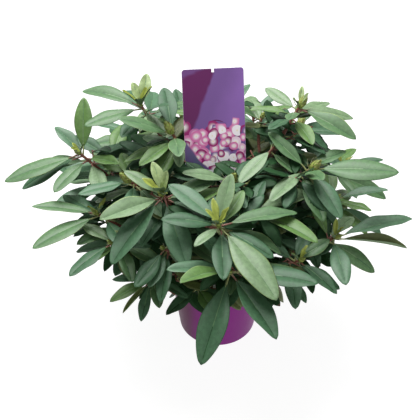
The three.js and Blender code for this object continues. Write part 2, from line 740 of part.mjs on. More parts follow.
// A mass's stem, twigs, buds and leaves as one body.
function makeFoliage({ stem, twigs }, ownShoots) {
  const foot = limb(stem, BOUGH.tipRadius, BOUGH.tipRadius, BOUGH.sides);
  const buds = ownShoots.map(({ tip, along, bud }) => makeBud(tip, along, BUDS[bud]));
  const leaves = ownShoots.flatMap((shoot) => shoot.leaves);
  let foliage;
  for (let i = 0; i < NUDGES; i++) {
    const wood = twigs.map((path, k) => limb(
      path, TWIG.radius, TWIG.tipRadius, TWIG.sides, TWIG.turn * (k + 1) + i * NUDGE));
    const blades = leaves.map((leaf) => makeLeaf(leaf, i * NUDGE));
    foliage = wholeBody([...wood, ...buds, ...blades].reduce((sum, piece) => sum.add(piece), foot));
    if (!isPinched(foliage, 1e-3) && !isPinched(foliage, 1e-4)) break;
  }
  return foliage;
}

// ---------------------------------------------------------------- assembly

function addMesh(group, name, solid, look) {
  const mesh = new THREE.Mesh(geometryOf(solid), new THREE.MeshStandardMaterial(look));
  mesh.name = name;
  group.add(mesh);
}

const plant = new THREE.Group();
addMesh(plant, 'pot', makePot(), COLOURS.pot);
addMesh(plant, 'root_ball', makeCompost(), COLOURS.compost);
addMesh(plant, 'stem', makeStem(0), COLOURS.bark);
addMesh(plant, 'plant_label', makeLabel(), COLOURS.label);

const plans = MASSES.map(plan);
const shoots = growLeaves(plans);
const stemClear = makeStem(GAP);

MASSES.forEach((mass, m) => {
  const wood = limb(plans[m].bough, BOUGH.baseRadius, BOUGH.tipRadius, BOUGH.sides).subtract(stemClear);
  addMesh(plant, `bough_${mass.name}`, wood, COLOURS.bark);
  const ownShoots = shoots.filter((shoot) => shoot.mass === m);
  addMesh(plant, `foliage_${mass.name}`, makeFoliage(plans[m], ownShoots), COLOURS.leaf);
});

export default plant;
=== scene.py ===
import functools
import math
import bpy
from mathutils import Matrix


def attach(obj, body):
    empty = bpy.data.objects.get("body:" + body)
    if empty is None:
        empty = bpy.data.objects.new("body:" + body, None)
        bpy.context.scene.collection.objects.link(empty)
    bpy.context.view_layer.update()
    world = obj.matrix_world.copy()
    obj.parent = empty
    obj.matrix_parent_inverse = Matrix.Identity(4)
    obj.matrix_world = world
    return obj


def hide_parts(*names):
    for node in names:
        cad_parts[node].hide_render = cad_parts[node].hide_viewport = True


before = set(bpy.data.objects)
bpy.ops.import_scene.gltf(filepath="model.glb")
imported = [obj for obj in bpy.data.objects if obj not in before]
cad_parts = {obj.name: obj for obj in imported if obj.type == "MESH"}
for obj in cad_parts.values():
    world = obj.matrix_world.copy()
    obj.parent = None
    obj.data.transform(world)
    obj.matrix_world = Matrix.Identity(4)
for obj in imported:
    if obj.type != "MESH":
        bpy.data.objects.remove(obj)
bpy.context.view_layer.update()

from types import SimpleNamespace as Spec
from typing import NamedTuple

import bpy
import numpy as np
from bpy.props import FloatProperty, FloatVectorProperty, IntProperty, PointerProperty
from mathutils import Euler, Vector, noise

bl_info = {
    "name": "Potted Rhododendron",
    "version": (1, 0, 0),
    "blender": (4, 5, 0),
    "location": "3D View > Sidebar > Rhododendron",
    "description": "Grows a rhododendron in its nursery pot, with its plant label",
    "category": "Add Mesh",
}

# Growth is worked out in millimetres and degrees, like the solids; meshes are made in metres.
# Bearings run anticlockwise from +X, seen from above, and -Y is the plant's front.
MM = 0.001
UP = np.array([0.0, 0.0, 1.0])

POT = Spec(foot=67.5, rim=84, height=150, wall=2.6, floor=3, edge_round=3, lip_out=4, lip_height=13,
           holes=6, hole_radius=4.5, hole_circle=47)
COMPOST = Spec(top=136, crown=2)
STEM = Spec(foot=138.3, top=193, flare_radius=13.5, flare_height=9, radius=9.6, top_radius=8, lean_x=1.5)
LABEL = Spec(width=99.5, height=176, thickness=1.2, corner=5, notch_width=4, notch_depth=6, shoulder=26,
             tail_width=8, tail_offset=-8, tail_length=186, tail_point=9, tail_join=4, top=(-9, 115, 457),
             lean=28, yaw=8, roll=-1.7, open_face=140, open_height=148, open_tilt=13)
GAP = 0.3  # clearance between pieces that touch
PULL = 0.36  # how far a limb's ends keep their direction, of its span
BOUGH = Spec(base_radius=3.8, tip_radius=3.3, steps=5, outset=34, share=0.52)
TWIG = Spec(radius=3.2, steps=3, stem_length=14, upright=66, lean=0.1)
LEAF = Spec(petiole=0.14, petiole_radius=1.1, width=0.32, widest=1.1, taper=1.15, blunt=0.5, fold=0.1,
            arch=0.05, whorl_depth=12, below_tip=3, spacing=2.2, golden_angle=137.5, width_spread=0.025,
            set_roll=12)
# A whorl's spiral of leaves, from its top down, and how far each leaf differs from the rule.
SPIRAL = Spec(rise=26, fall=46, outward=12, full_reach=200, rise_spread=7, short=0.84, growth=0.2,
              length_spread=0.06, roll=14, apart=24)
YOUNG = Spec(width=0.24, broad=0.34, broad_from=50, rise=40, rise_step=12, turn=10, shrink=0.08, roll=20)
OLDER = Spec(count=2, start=0.5, step=0.14, rise=-6, share=0.9, behind=60, turn=12, roll=10)
BUDS = dict(flower=(6, 25), growth=(3.6, 17), small=(3, 12))  # radius and length
CLEAR = Spec(leaf=6.4, limb=3.6, bud=2.5, label=4.5, pot=6)
# Where a leaf is tested for what it would touch: shares of its length, and of its half width.
TESTED = (np.linspace(0.2, 1, 9), [-0.95, -0.5, 0, 0.5, 0.95])
FINE = Spec(bough_steps=30, twig_steps=28, side_steps=8)  # steps along the limbs that show
# Side twigs fill the crown's depths. They stay within their mass's own distance from the crown's middle.
SIDE = Spec(starts=(0.15, 0.28, 0.41, 0.54, 0.67, 0.8), radius=1.5, turn=65, turn_spread=20, rise=10,
            rise_spread=25, length=38, length_spread=9, lift=0.4, ease=0.5, low=250, middle=(0, 0, 240),
            share=0.97)
SIDE_LEAVES = Spec(count=8, length=64, step=0.08, short=0.85, growth=0.3, length_spread=0.1, rise=28,
                   fall=48, rise_spread=10, droop=22, roll=16, wider=0.02, tries=9)
# Owners of the places that are taken: shoots count from 0, and boughs and stems from these.
OWNER = Spec(bough=1000, stem=2000)
# Seeds of the random draws and of the bark's noise.
SEED = Spec(shoot=7, side=3000, leaves=5000, buds=9000, chips=77, stem=3, bough=20, fork=50, twig=80)
# Turns and lifts that are tried when a leaf's own place is taken, with the share of its length.
TURNS = [
    (0, 0, 1), (10, 6, 1), (-10, 6, 1), (16, -8, 1), (-16, -8, 1), (24, 12, 0.95), (-24, 12, 0.95),
    (0, 22, 0.95), (0, -22, 0.95), (36, -4, 0.9), (-36, -4, 0.9), (30, 24, 0.85), (-30, 24, 0.85),
    (50, -14, 0.8), (-50, -14, 0.8),
]


class Row(NamedTuple):
    """A shoot. Its tuft of young leaves is given by number, length and first bearing. Its set leaves, each
    with bearing, rise and length, come first, and the spiral fills in."""
    at: list  # bearing, reach and height of its tip
    leaf: int  # length of its adult leaves
    count: int  # of its leaves
    lead: int  # bearing that its spiral of leaves starts from
    bud: str = "small"
    young: tuple = (0, 0, 0)
    set: tuple = ()
    inner: bool = False  # fills the crown's depths


class Mass(NamedTuple):
    """A mass of foliage on its bough, which leaves the stem at its socket's bearing and height."""
    name: str
    socket: list
    shoots: list


MASSES = [
    Mass("left_crest", [142, 176], [
        Row([145, 150, 405], 90, 9, 200, "growth", young=[6, 54, 70], set=[
            [155, 5, 110], [210, 5, 100], [305, -5, 70]]),
        Row([155, 80, 390], 85, 9, 280, "flower", set=[[100, 25, 95], [180, 25, 95]]),
    ]),
    Mass("left_high", [163, 163], [
        Row([170, 225, 345], 90, 10, 330, "growth", young=[4, 28, 90], set=[
            [200, -5, 125], [190, -25, 110], [75, 45, 100], [130, 20, 75]]),
        Row([150, 215, 290], 90, 9, 150),
        Row([175, 185, 260], 80, 7, 240, inner=True),
    ]),
    Mass("left_middle", [200, 176], [
        Row([190, 140, 340], 85, 9, 120, "flower", set=[[205, 10, 85]]),
        Row([220, 110, 350], 95, 10, 40, "growth", young=[6, 54, 110], set=[
            [235, -15, 130], [290, -20, 115], [210, 5, 105]]),
        Row([195, 105, 250], 80, 7, 130, inner=True),
    ]),
    Mass("left_low", [196, 150], [
        Row([195, 195, 295], 90, 7, 20, "growth", young=[3, 28, 60], set=[
            [180, 15, 105], [215, 0, 115], [140, 5, 80]]),
        Row([210, 190, 275], 80, 9, 330, set=[[230, 5, 90]]),
        Row([185, 165, 225], 75, 7, 200, inner=True),
    ]),
    Mass("front_left_low", [228, 163], [
        Row([235, 145, 285], 75, 8, 300, set=[[240, 0, 80]]),
        Row([230, 170, 225], 70, 8, 290, set=[[240, 5, 70], [260, 0, 60]]),
        Row([255, 125, 200], 65, 6, 320, set=[[230, 10, 75], [295, 15, 65]]),
        Row([225, 95, 215], 80, 7, 250, inner=True),
    ]),
    Mass("front", [302, 176], [
        Row([270, 140, 350], 95, 11, 230, "growth", young=[5, 42, 100], set=[
            [305, -10, 140], [20, 0, 125], [135, 15, 110], [75, 35, 90], [45, 25, 80], [225, 5, 50]]),
        Row([300, 100, 330], 80, 8, 70, set=[[30, 0, 120], [325, 5, 115]]),
        Row([325, 90, 250], 80, 7, 330, inner=True),
    ]),
    Mass("front_low", [302, 150], [
        Row([275, 185, 300], 100, 10, 110, set=[
            [250, -25, 135], [300, -5, 125], [345, 10, 130], [215, 25, 95]]),
        Row([315, 175, 265], 75, 9, 20, "growth", young=[3, 26, 60], set=[[315, -5, 75]]),
        Row([310, 150, 235], 65, 6, 10, set=[[245, 10, 70], [305, -5, 65]]),
        Row([285, 110, 225], 80, 7, 260, inner=True),
    ]),
    Mass("centre", [335, 163], [
        Row([305, 35, 345], 85, 9, 270, "flower", set=[[150, 10, 95], [180, 20, 85]]),
        Row([20, 95, 365], 75, 8, 300, set=[[230, -5, 90]]),
        Row([10, 80, 290], 80, 6, 330, inner=True),
        Row([240, 40, 300], 70, 6, 20, inner=True),
    ]),
    Mass("right_high", [20, 176], [
        Row([355, 145, 355], 85, 10, 60, "flower", set=[
            [350, 10, 135], [295, -10, 95], [130, 20, 95], [215, -5, 95]]),
        Row([35, 160, 400], 80, 10, 250, "flower", young=[3, 34, 80], set=[
            [325, -5, 105], [345, 0, 90], [135, 10, 75]]),
        Row([55, 125, 370], 75, 8, 190),
    ]),
    Mass("right_low", [350, 150], [
        Row([335, 200, 275], 80, 9, 230, "growth", young=[3, 30, 90], set=[
            [15, 10, 130], [0, -5, 115], [275, 0, 90]]),
        Row([10, 200, 255], 85, 9, 320, set=[[5, 15, 90]]),
        Row([340, 150, 220], 75, 7, 310, inner=True),
    ]),
    Mass("back_right", [50, 150], [
        Row([50, 220, 305], 90, 8, 65, "flower"),
        Row([30, 245, 245], 95, 8, 10, "growth", young=[4, 34, 30]),
        Row([70, 250, 240], 90, 8, 75),
    ]),
    Mass("back", [82, 176], [
        Row([90, 150, 350], 90, 8, 120, "growth", young=[4, 36, 0]),
        Row([70, 190, 325], 90, 8, 40, "flower"),
        Row([90, 235, 270], 95, 8, 85),
        Row([90, 160, 210], 85, 7, 70, inner=True),
    ]),
    Mass("back_left", [118, 150], [
        Row([110, 180, 325], 85, 8, 100),
        Row([130, 225, 290], 90, 8, 160, "growth", young=[4, 34, 50]),
        Row([110, 255, 230], 90, 8, 115),
        Row([150, 250, 220], 95, 8, 165, "flower"),
    ]),
]

# ---------------------------------------------------------------- the growth rule


def aim(bearing, rise):
    """The unit vector at a bearing, rising from the horizontal."""
    b, r = math.radians(bearing), math.radians(rise)
    return np.array([math.cos(r) * math.cos(b), math.cos(r) * math.sin(b), math.sin(r)])


def polar(bearing, reach, height):
    b = math.radians(bearing)
    return np.array([reach * math.cos(b), reach * math.sin(b), height], float)


def unit(vector):
    return vector / np.linalg.norm(vector)


def turned(vector, axis, angle):
    """A vector turned about a unit axis."""
    c, s = math.cos(angle), math.sin(angle)
    return vector * c + np.cross(axis, vector) * s + axis * np.dot(axis, vector) * (1 - c)


class Draw:
    """Steady pseudo-random numbers from 0 to 1, the same for the same seed."""

    def __init__(self, seed):
        self.state = (seed * 2654435761) & 0xFFFFFFFF

    def next(self):
        self.state = (self.state * 1664525 + 1013904223) & 0xFFFFFFFF
        return self.state / 4294967296

    def spread(self, width):
        return width * (2 * self.next() - 1)

    def between(self, low, high):
        return low + (high - low) * self.next()

    def pick(self, choices):
        return choices[int(self.next() * len(choices))]


class Path:
    """Points along a limb, with the limb's direction at each."""

    def __init__(self, points, along):
        self.points, self.along = np.array(points), np.array(along)

    @classmethod
    def bezier(cls, start, start_aim, end, end_aim, steps):
        span = np.linalg.norm(end - start)
        a, b, c, d = start, start + PULL * span * start_aim, end - PULL * span * end_aim, end
        t = np.linspace(0, 1, steps + 1)[:, None]
        points = (1 - t) ** 3 * a + 3 * (1 - t) ** 2 * t * b + 3 * (1 - t) * t ** 2 * c + t ** 3 * d
        along = (1 - t) ** 2 * (b - a) + 2 * (1 - t) * t * (c - b) + t ** 2 * (d - c)
        return cls(points, along / np.linalg.norm(along, axis=1, keepdims=True))

    def at(self, share):
        """The point a share of the way along a path of equal steps."""
        place = share * (len(self.points) - 1)
        i = min(int(place), len(self.points) - 2)
        return self.points[i] + (place - i) * (self.points[i + 1] - self.points[i])

    def nearest(self, point):
        """The nearest of the path's own points."""
        return self.points[np.argmin(np.linalg.norm(self.points - point, axis=1))]


class Neighbours:
    """Places that are taken, each with its margin and its owner."""

    def __init__(self):
        self.points, self.margins, self.owners = np.zeros((0, 3)), np.zeros(0), np.zeros(0, int)

    def add(self, points, margin, owner):
        self.points = np.vstack([self.points, points])
        self.margins = np.append(self.margins, np.full(len(points), margin))
        self.owners = np.append(self.owners, np.full(len(points), owner))

    def touches(self, points, owner, ease=1.0):
        """True if something of another owner is nearer than its margin, which ease makes smaller."""
        reach = ease * self.margins.max()
        low, high = points.min(0) - reach, points.max(0) + reach
        close = np.all((self.points > low) & (self.points < high), axis=1) & (self.owners != owner)
        gaps = np.linalg.norm(self.points[close][:, None] - points[None], axis=2)
        return bool((gaps < ease * self.margins[close][:, None]).any())


class Leaf:
    """A leaf from its root to its tip; its blade arches over the chord between them."""

    def __init__(self, root, tip, roll, width):
        chord = tip - root
        self.root, self.length, self.width = root, np.linalg.norm(chord), width
        self.along = chord / self.length
        self.across = turned(unit(np.cross(UP, self.along)), self.along, math.radians(roll))
        self.over = unit(np.cross(self.along, self.across))

    def half_width(self, t):
        """Half the blade's width at t, for an oblong blade with a short point."""
        u = np.clip((t - LEAF.petiole) / (1 - LEAF.petiole), 0, 1)
        bulge = np.sin(np.pi * u ** LEAF.widest).clip(0) ** (LEAF.taper - LEAF.blunt * u)
        return LEAF.petiole_radius + self.width * self.length * bulge / 2

    def samples(self):
        """Points of the middle surface, for finding what the leaf would touch."""
        t, s = np.meshgrid(*TESTED, indexing="ij")
        half = self.half_width(t)
        rise = LEAF.arch * self.length * 4 * t * (1 - t) + LEAF.fold * abs(s) * half
        return (self.root + self.along * (t * self.length)[..., None] + self.across * (s * half)[..., None]
                + self.over * rise[..., None]).reshape(-1, 3)


class Shoot:
    """One of a mass's shoots, with the twig that bears it."""

    def __init__(self, mass, index, row, twig, fine_twig, owner):
        self.mass, self.row, self.twig, self.fine_twig, self.owner = mass, row, twig, fine_twig, owner
        self.tip, self.along = polar(*row.at), shoot_aim(row)
        self.draw = Draw(100 * mass + index + SEED.shoot)
        self.leaves, self.sides = [], []

    def root_at(self, k):
        """Where the leaf of number k leaves the shoot."""
        below = self.twig.points[-2]
        down = LEAF.spacing * k + LEAF.below_tip
        return self.tip + (below - self.tip) * down / np.linalg.norm(self.tip - below)

    def whorl(self):
        return self.tip - LEAF.whorl_depth * UP

    def leaf_width(self):
        return LEAF.width + self.draw.spread(LEAF.width_spread)

    def spiral_leaf(self, bearing, share):
        """Lower leaves of a whorl are longer and droop; leaves that point inwards stand up more."""
        shoot_bearing, reach, _ = self.row.at
        towards = math.cos(math.radians(bearing - shoot_bearing)) * min(1, reach / SPIRAL.full_reach)
        rise = SPIRAL.rise - SPIRAL.fall * share - SPIRAL.outward * towards
        rise += self.draw.spread(SPIRAL.rise_spread)
        length = SPIRAL.short + SPIRAL.growth * share + self.draw.spread(SPIRAL.length_spread)
        return rise, self.row.leaf * length, self.draw.spread(SPIRAL.roll)


def shoot_aim(row):
    """A shoot leans outwards, more so the further out it stands."""
    return aim(row.at[0], TWIG.upright - TWIG.lean * row.at[1])


def on_label(points):
    """Points in the card's own plane: x across it, y up it and z out of its face."""
    turn = label_turn().to_matrix().transposed()
    return (points - np.array(LABEL.top, float)) @ np.array(turn).T


def label_turn():
    turn = Euler((0, 0, math.radians(LABEL.roll))).to_quaternion()
    turn = Euler((math.radians(90 - LABEL.lean), 0, 0)).to_quaternion() @ turn
    return Euler((0, 0, math.radians(LABEL.yaw))).to_quaternion() @ turn


def hits_fixed(points):
    """True if a point would be in the pot, in the label or close before its printed face."""
    flat = np.hypot(points[:, 0], points[:, 1])
    in_pot = (points[:, 2] < POT.height + CLEAR.pot) & (
        flat < POT.rim + POT.lip_out + CLEAR.pot)
    x, y, z = on_label(points).T
    margin = CLEAR.label
    level = y - z * math.tan(math.radians(LABEL.open_tilt))
    face = np.where((level > -LABEL.open_height) & (y < LABEL.open_face), LABEL.open_face, margin)
    on_card = y > -LABEL.height - LABEL.shoulder
    beside = np.where(on_card, abs(x) < LABEL.width / 2 + margin,
                      abs(x - LABEL.tail_offset) < LABEL.tail_width / 2 + margin)
    return bool((in_pot | ((z >= -margin) & (z <= face) & (y <= margin) & beside)).any())


def plan(mass):
    """Where a mass's bough, its stem and its twigs run."""
    tips = [polar(*row.at) for row in mass.shoots]
    middle = sum(tips) / len(tips)
    bearing, height = mass.socket
    socket = np.array([0.0, 0.0, height])
    fork = socket + BOUGH.share * (middle - socket)
    away = unit(middle - fork)
    end = fork - TWIG.stem_length * away

    def twig(row, tip, steps):
        return Path.bezier(fork, away, tip, shoot_aim(row), steps)

    return dict(
        bough=Path.bezier(socket, aim(bearing, BOUGH.outset), end, away, BOUGH.steps),
        fine_bough=Path.bezier(socket, aim(bearing, BOUGH.outset), end, away, FINE.bough_steps),
        stem=Path([end + GAP * away, fork], [away, away]),
        twigs=[twig(row, tip, TWIG.steps) for row, tip in zip(mass.shoots, tips)],
        fine_twigs=[twig(row, tip, FINE.twig_steps) for row, tip in zip(mass.shoots, tips)],
    )


def add_limb(near, path, owner):
    thick = TWIG.radius + CLEAR.limb
    for a, b in zip(path.points, path.points[1:]):
        steps = math.ceil(np.linalg.norm(b - a) / 4)
        near.add(a + (b - a) * (np.arange(steps) / steps)[:, None], thick, owner)


def try_leaf(near, shoot, whorl, root, wanted, roll, width, kind="adult", number=0):
    """Puts a leaf where it is meant to go, or a little to the side, or leaves it out. The young leaves
    of one tuft may touch each other."""
    bearing, rise, length = wanted
    for turn, lift, share in TURNS:
        leaf = Leaf(root, whorl + share * length * aim(bearing + turn, rise + lift), roll, width)
        samples = leaf.samples()
        if hits_fixed(samples) or near.touches(samples, shoot.owner):
            continue
        near.add(samples, CLEAR.leaf, shoot.owner if kind == "young" else -1)
        leaf.foot, leaf.kind, leaf.number = shoot.fine_twig.nearest(root), kind, number
        shoot.leaves.append(leaf)
        return


def bearing_gap(a, b):
    return abs((a - b + 540) % 360 - 180)


def within_crown(points, mass):
    """True if all the points are nearer to the crown's middle than the mass's outermost tip is."""
    middle = np.array(SIDE.middle, float)
    furthest = max(np.linalg.norm(polar(*row.at) - middle) for row in MASSES[mass].shoots)
    return bool((np.linalg.norm(points - middle, axis=1) < SIDE.share * furthest).all())


def grow_side_twigs(near, shoot):
    """Thinner twigs that leave the shoot's twig on alternate sides, each with a small whorl of leaves."""
    draw, path, ease = Draw(SEED.side + shoot.owner), shoot.fine_twig, SIDE.ease
    for n, start in enumerate(SIDE.starts):
        i = round(start * (len(path.points) - 1))
        foot, forward = path.points[i], path.along[i]
        side = unit(np.cross(UP, forward)) * (-1) ** n
        turn = math.radians(SIDE.turn + draw.spread(SIDE.turn_spread))
        away = unit(math.cos(turn) * forward + math.sin(turn) * side)
        away = unit(away + UP * math.tan(math.radians(SIDE.rise + draw.spread(SIDE.rise_spread))))
        tip = foot + away * (SIDE.length + draw.spread(SIDE.length_spread))
        end_aim = unit(away + SIDE.lift * UP)
        twig = Path.bezier(foot, unit(forward + away), tip, end_aim, FINE.side_steps)
        if hits_fixed(twig.points[2:]) or near.touches(twig.points[3:], shoot.owner, ease):
            continue
        if not within_crown(twig.points, shoot.mass):
            continue
        near.add(twig.points[1:], SIDE.radius + CLEAR.limb, shoot.owner)
        shoot.sides.append(twig)
        grow_side_leaves(near, shoot, twig, draw)


def grow_side_leaves(near, shoot, twig, draw):
    """A small whorl, whose leaves droop in the lower crown."""
    rule, lead = SIDE_LEAVES, 360 * draw.next()
    for k in range(rule.count):
        share = k / (rule.count - 1)
        root = twig.at(1 - rule.step * k)
        length = rule.length * (rule.short + rule.growth * share + draw.spread(rule.length_spread))
        rise = rule.rise - rule.fall * share + draw.spread(rule.rise_spread)
        rise -= rule.droop if shoot.tip[2] < SIDE.low else 0
        bearing, roll = lead + LEAF.golden_angle * k, draw.spread(rule.roll)
        for turn, lift, scale in TURNS[:rule.tries]:
            tip = root + scale * length * aim(bearing + turn, rise + lift)
            leaf = Leaf(root, tip, roll, LEAF.width + rule.wider)
            samples = leaf.samples()
            if (not within_crown(samples, shoot.mass) or hits_fixed(samples)
                    or near.touches(samples, shoot.owner, SIDE.ease)):
                continue
            near.add(samples, CLEAR.leaf, -1)
            leaf.foot, leaf.kind, leaf.number = root, "inner", k
            shoot.leaves.append(leaf)
            break


@functools.cache
def grown():
    """Every limb and leaf. The limbs come first, then the set leaves of all shoots, then young growth,
    then last year's leaves and the spirals, so that no leaf crosses a limb or another leaf."""
    plans = [plan(mass) for mass in MASSES]
    near, shoots = Neighbours(), []
    for m, (mass, limbs) in enumerate(zip(MASSES, plans)):
        add_limb(near, limbs["bough"], OWNER.bough + m)
        add_limb(near, limbs["stem"], OWNER.stem + m)
        for i, (row, twig, fine) in enumerate(zip(mass.shoots, limbs["twigs"], limbs["fine_twigs"])):
            add_limb(near, twig, 10 * m + i)
            shoots.append(Shoot(m, i, row, twig, fine, 10 * m + i))
    for shoot in shoots:
        radius, length = BUDS[shoot.row.bud]
        bud = shoot.tip + shoot.along * (length * np.array([0.3, 0.6, 0.9]))[:, None]
        near.add(bud, radius + CLEAR.bud, shoot.owner)
    golden = LEAF.golden_angle
    for shoot in shoots:
        for k, wanted in enumerate(shoot.row.set):
            roll, width = shoot.draw.spread(LEAF.set_roll), shoot.leaf_width()
            try_leaf(near, shoot, shoot.whorl(), shoot.root_at(k), wanted, roll, width, "set", k)
    for shoot in shoots:
        count, length, first = shoot.row.young
        width = YOUNG.width if length < YOUNG.broad_from else YOUNG.broad
        for k in range(count):
            bearing = first + golden * k + shoot.draw.spread(YOUNG.turn)
            rise = YOUNG.rise + YOUNG.rise_step * (k % 3)
            wanted = (bearing, rise, length * (1 - YOUNG.shrink * k))
            roll = shoot.draw.spread(YOUNG.roll)
            try_leaf(near, shoot, shoot.tip, shoot.tip, wanted, roll, width, "young", k)
    for shoot in shoots:
        for k in range(OLDER.count):
            bearing = shoot.row.lead + OLDER.behind + golden * k + shoot.draw.spread(OLDER.turn)
            root = shoot.twig.at(OLDER.start + OLDER.step * k)
            rise = OLDER.rise + shoot.draw.spread(OLDER.turn)
            wanted = (bearing, rise, OLDER.share * shoot.row.leaf)
            roll = shoot.draw.spread(OLDER.roll)
            try_leaf(near, shoot, root, root, wanted, roll, shoot.leaf_width(), "older")
    for shoot in shoots:
        k, count, lead = len(shoot.row.set), shoot.row.count, shoot.row.lead
        for step in range(2 * count):
            if k >= count:
                break
            bearing = lead + golden * step
            rise, length, roll = shoot.spiral_leaf(bearing, k / (count - 1))
            width = shoot.leaf_width()
            if any(bearing_gap(taken, bearing) < SPIRAL.apart for taken, _, _ in shoot.row.set):
                continue
            k += 1
            try_leaf(near, shoot, shoot.whorl(), shoot.root_at(k), (bearing, rise, length), roll, width)
    for shoot in shoots:
        grow_side_twigs(near, shoot)
    return plans, shoots


def shoots_of(m):
    """The shoots of one mass, each with its number."""
    return enumerate(shoot for shoot in grown()[1] if shoot.mass == m)


# ---------------------------------------------------------------- mesh helpers


class Pile:
    """Gathers the faces of many small shapes for one joined mesh, with a material for each face."""

    def __init__(self):
        self.points, self.faces, self.looks, self.count = [], [], [], 0

    def add(self, points, faces, looks):
        points = np.asarray(points).reshape(-1, 3)
        self.points.append(points)
        self.faces += [[self.count + i for i in face] for face in faces]
        self.looks += [looks] * len(faces) if isinstance(looks, str) else list(looks)
        self.count += len(points)

    def to_object(self, name, materials, smooth=True):
        """Makes the mesh, in metres, with only the materials that it uses."""
        mesh = bpy.data.meshes.new(name)
        mesh.from_pydata((np.vstack(self.points) * MM).tolist(), [], self.faces)
        used = sorted(set(self.looks))
        for look in used:
            mesh.materials.append(materials[look])
        mesh.polygons.foreach_set("material_index", [used.index(look) for look in self.looks])
        mesh.polygons.foreach_set("use_smooth", [smooth] * len(self.faces))
        mesh.update()
        piece = bpy.data.objects.new(name, mesh)
        bpy.context.scene.collection.objects.link(piece)
        return piece


def closed_sheet(top, under):
    """A thin closed sheet, as points and faces: the top's, the under side's and the two short ends. Its
    upper and under grids share their two long edges."""
    rows, columns = top.shape[:2]
    upper = np.arange(rows * columns).reshape(rows, columns)
    lower = upper.copy()
    lower[:, 1:-1] = rows * columns + np.arange(rows * (columns - 2)).reshape(rows, -1)
    points = np.vstack([top.reshape(-1, 3), under[:, 1:-1].reshape(-1, 3)])
    u, v = upper, lower
    top_faces = np.stack([u[:-1, :-1], u[1:, :-1], u[1:, 1:], u[:-1, 1:]], axis=2)
    under_faces = np.stack([v[:-1, :-1], v[:-1, 1:], v[1:, 1:], v[1:, :-1]], axis=2)
    ends = [[*u[0], *v[0, -2:0:-1]], [*u[-1], *v[-1, -2:0:-1]][::-1]]
    return points, [*top_faces.reshape(-1, 4).tolist(), *under_faces.reshape(-1, 4).tolist(), *ends]


def directions(centres):
    """The direction of a row of points at each of them."""
    along = np.gradient(centres, axis=0)
    return along / np.linalg.norm(along, axis=1, keepdims=True)


def tube(centres, along, radii, sides):
    """Rings round a path, joined into a closed tube. radii is one for each ring, or one for each point."""
    centres, along, radii = np.asarray(centres), np.asarray(along), np.asarray(radii, float)
    side = np.cross(UP, along)
    side[np.linalg.norm(side, axis=1) < 1e-3] = (1, 0, 0)
    side /= np.linalg.norm(side, axis=1, keepdims=True)
    over = np.cross(along, side)
    turn = np.linspace(0, 2 * np.pi, sides, endpoint=False)
    radii = radii[:, None] * np.ones(sides) if radii.ndim == 1 else radii
    rings = (centres[:, None] + side[:, None] * (radii * np.cos(turn))[..., None]
             + over[:, None] * (radii * np.sin(turn))[..., None])
    return rings.reshape(-1, 3), ring_faces(len(centres), sides)


def ring_faces(rings, sides):
    """Faces between rows of ring points, closed flat at both ends."""
    grid = np.arange(rings * sides).reshape(rings, sides)
    after = np.roll(grid, -1, axis=1)
    walls = np.stack([grid[:-1], after[:-1], after[1:], grid[1:]], axis=2).reshape(-1, 4)
    return [*walls.tolist(), grid[0][::-1].tolist(), grid[-1].tolist()]


def lathe(profile, sides):
    """A profile of (radius, height) from axis to axis, turned round +Z."""
    profile = np.asarray(profile, float)
    turn = np.linspace(0, 2 * np.pi, sides, endpoint=False)
    rings = np.stack([profile[1:-1, :1] * np.cos(turn), profile[1:-1, :1] * np.sin(turn),
                      np.repeat(profile[1:-1, 1:], sides, axis=1)], axis=2)
    count = rings.shape[0] * sides
    *faces, first, last = ring_faces(rings.shape[0], sides)
    first = first[::-1]
    faces += [[count, b, a] for a, b in zip(first, first[1:] + first[:1])]
    faces += [[count + 1, a, b] for a, b in zip(last, last[1:] + last[:1])]
    poles = [[0, 0, profile[0, 1]], [0, 0, profile[-1, 1]]]
    return np.vstack([rings.reshape(-1, 3), poles]), faces


def smooth_step(low, high, value):
    x = np.clip((value - low) / (high - low), 0, 1)
    return x * x * (3 - 2 * x)


def relief(points, scale, stretch, seed):
    """Rough bark: noise at each point, drawn out along the limb by stretch."""
    return np.array([noise.fractal(Vector((x / scale, y / scale, z / (scale * stretch) + seed)), 1, 2, 3)
                     for x, y, z in points])


# ---------------------------------------------------------------- shader helpers


class Value:
    """A shader socket that takes part in Python arithmetic."""

    def __init__(self, look, socket):
        self.look, self.socket = look, socket

    def math(self, operation, *operands):
        node = self.look.add("ShaderNodeMath", {"operation": operation}, dict(enumerate(operands)))
        return Value(self.look, node.outputs[0])

    def __add__(self, other):
        return self.math("ADD", self, other)

    def __sub__(self, other):
        return self.math("SUBTRACT", self, other)

    def __rsub__(self, other):
        return self.math("SUBTRACT", other, self)

    def __mul__(self, other):
        return self.math("MULTIPLY", self, other)

    def __gt__(self, other):
        return self.math("GREATER_THAN", self, other)

    __radd__, __rmul__ = __add__, __mul__

    def step(self, low, high):
        """0 below low, 1 above high, and smooth between them."""
        node = self.look.add("ShaderNodeMapRange", {"interpolation_type": "SMOOTHSTEP"},
                             {"Value": self, "From Min": low, "From Max": high})
        return Value(self.look, node.outputs["Result"])


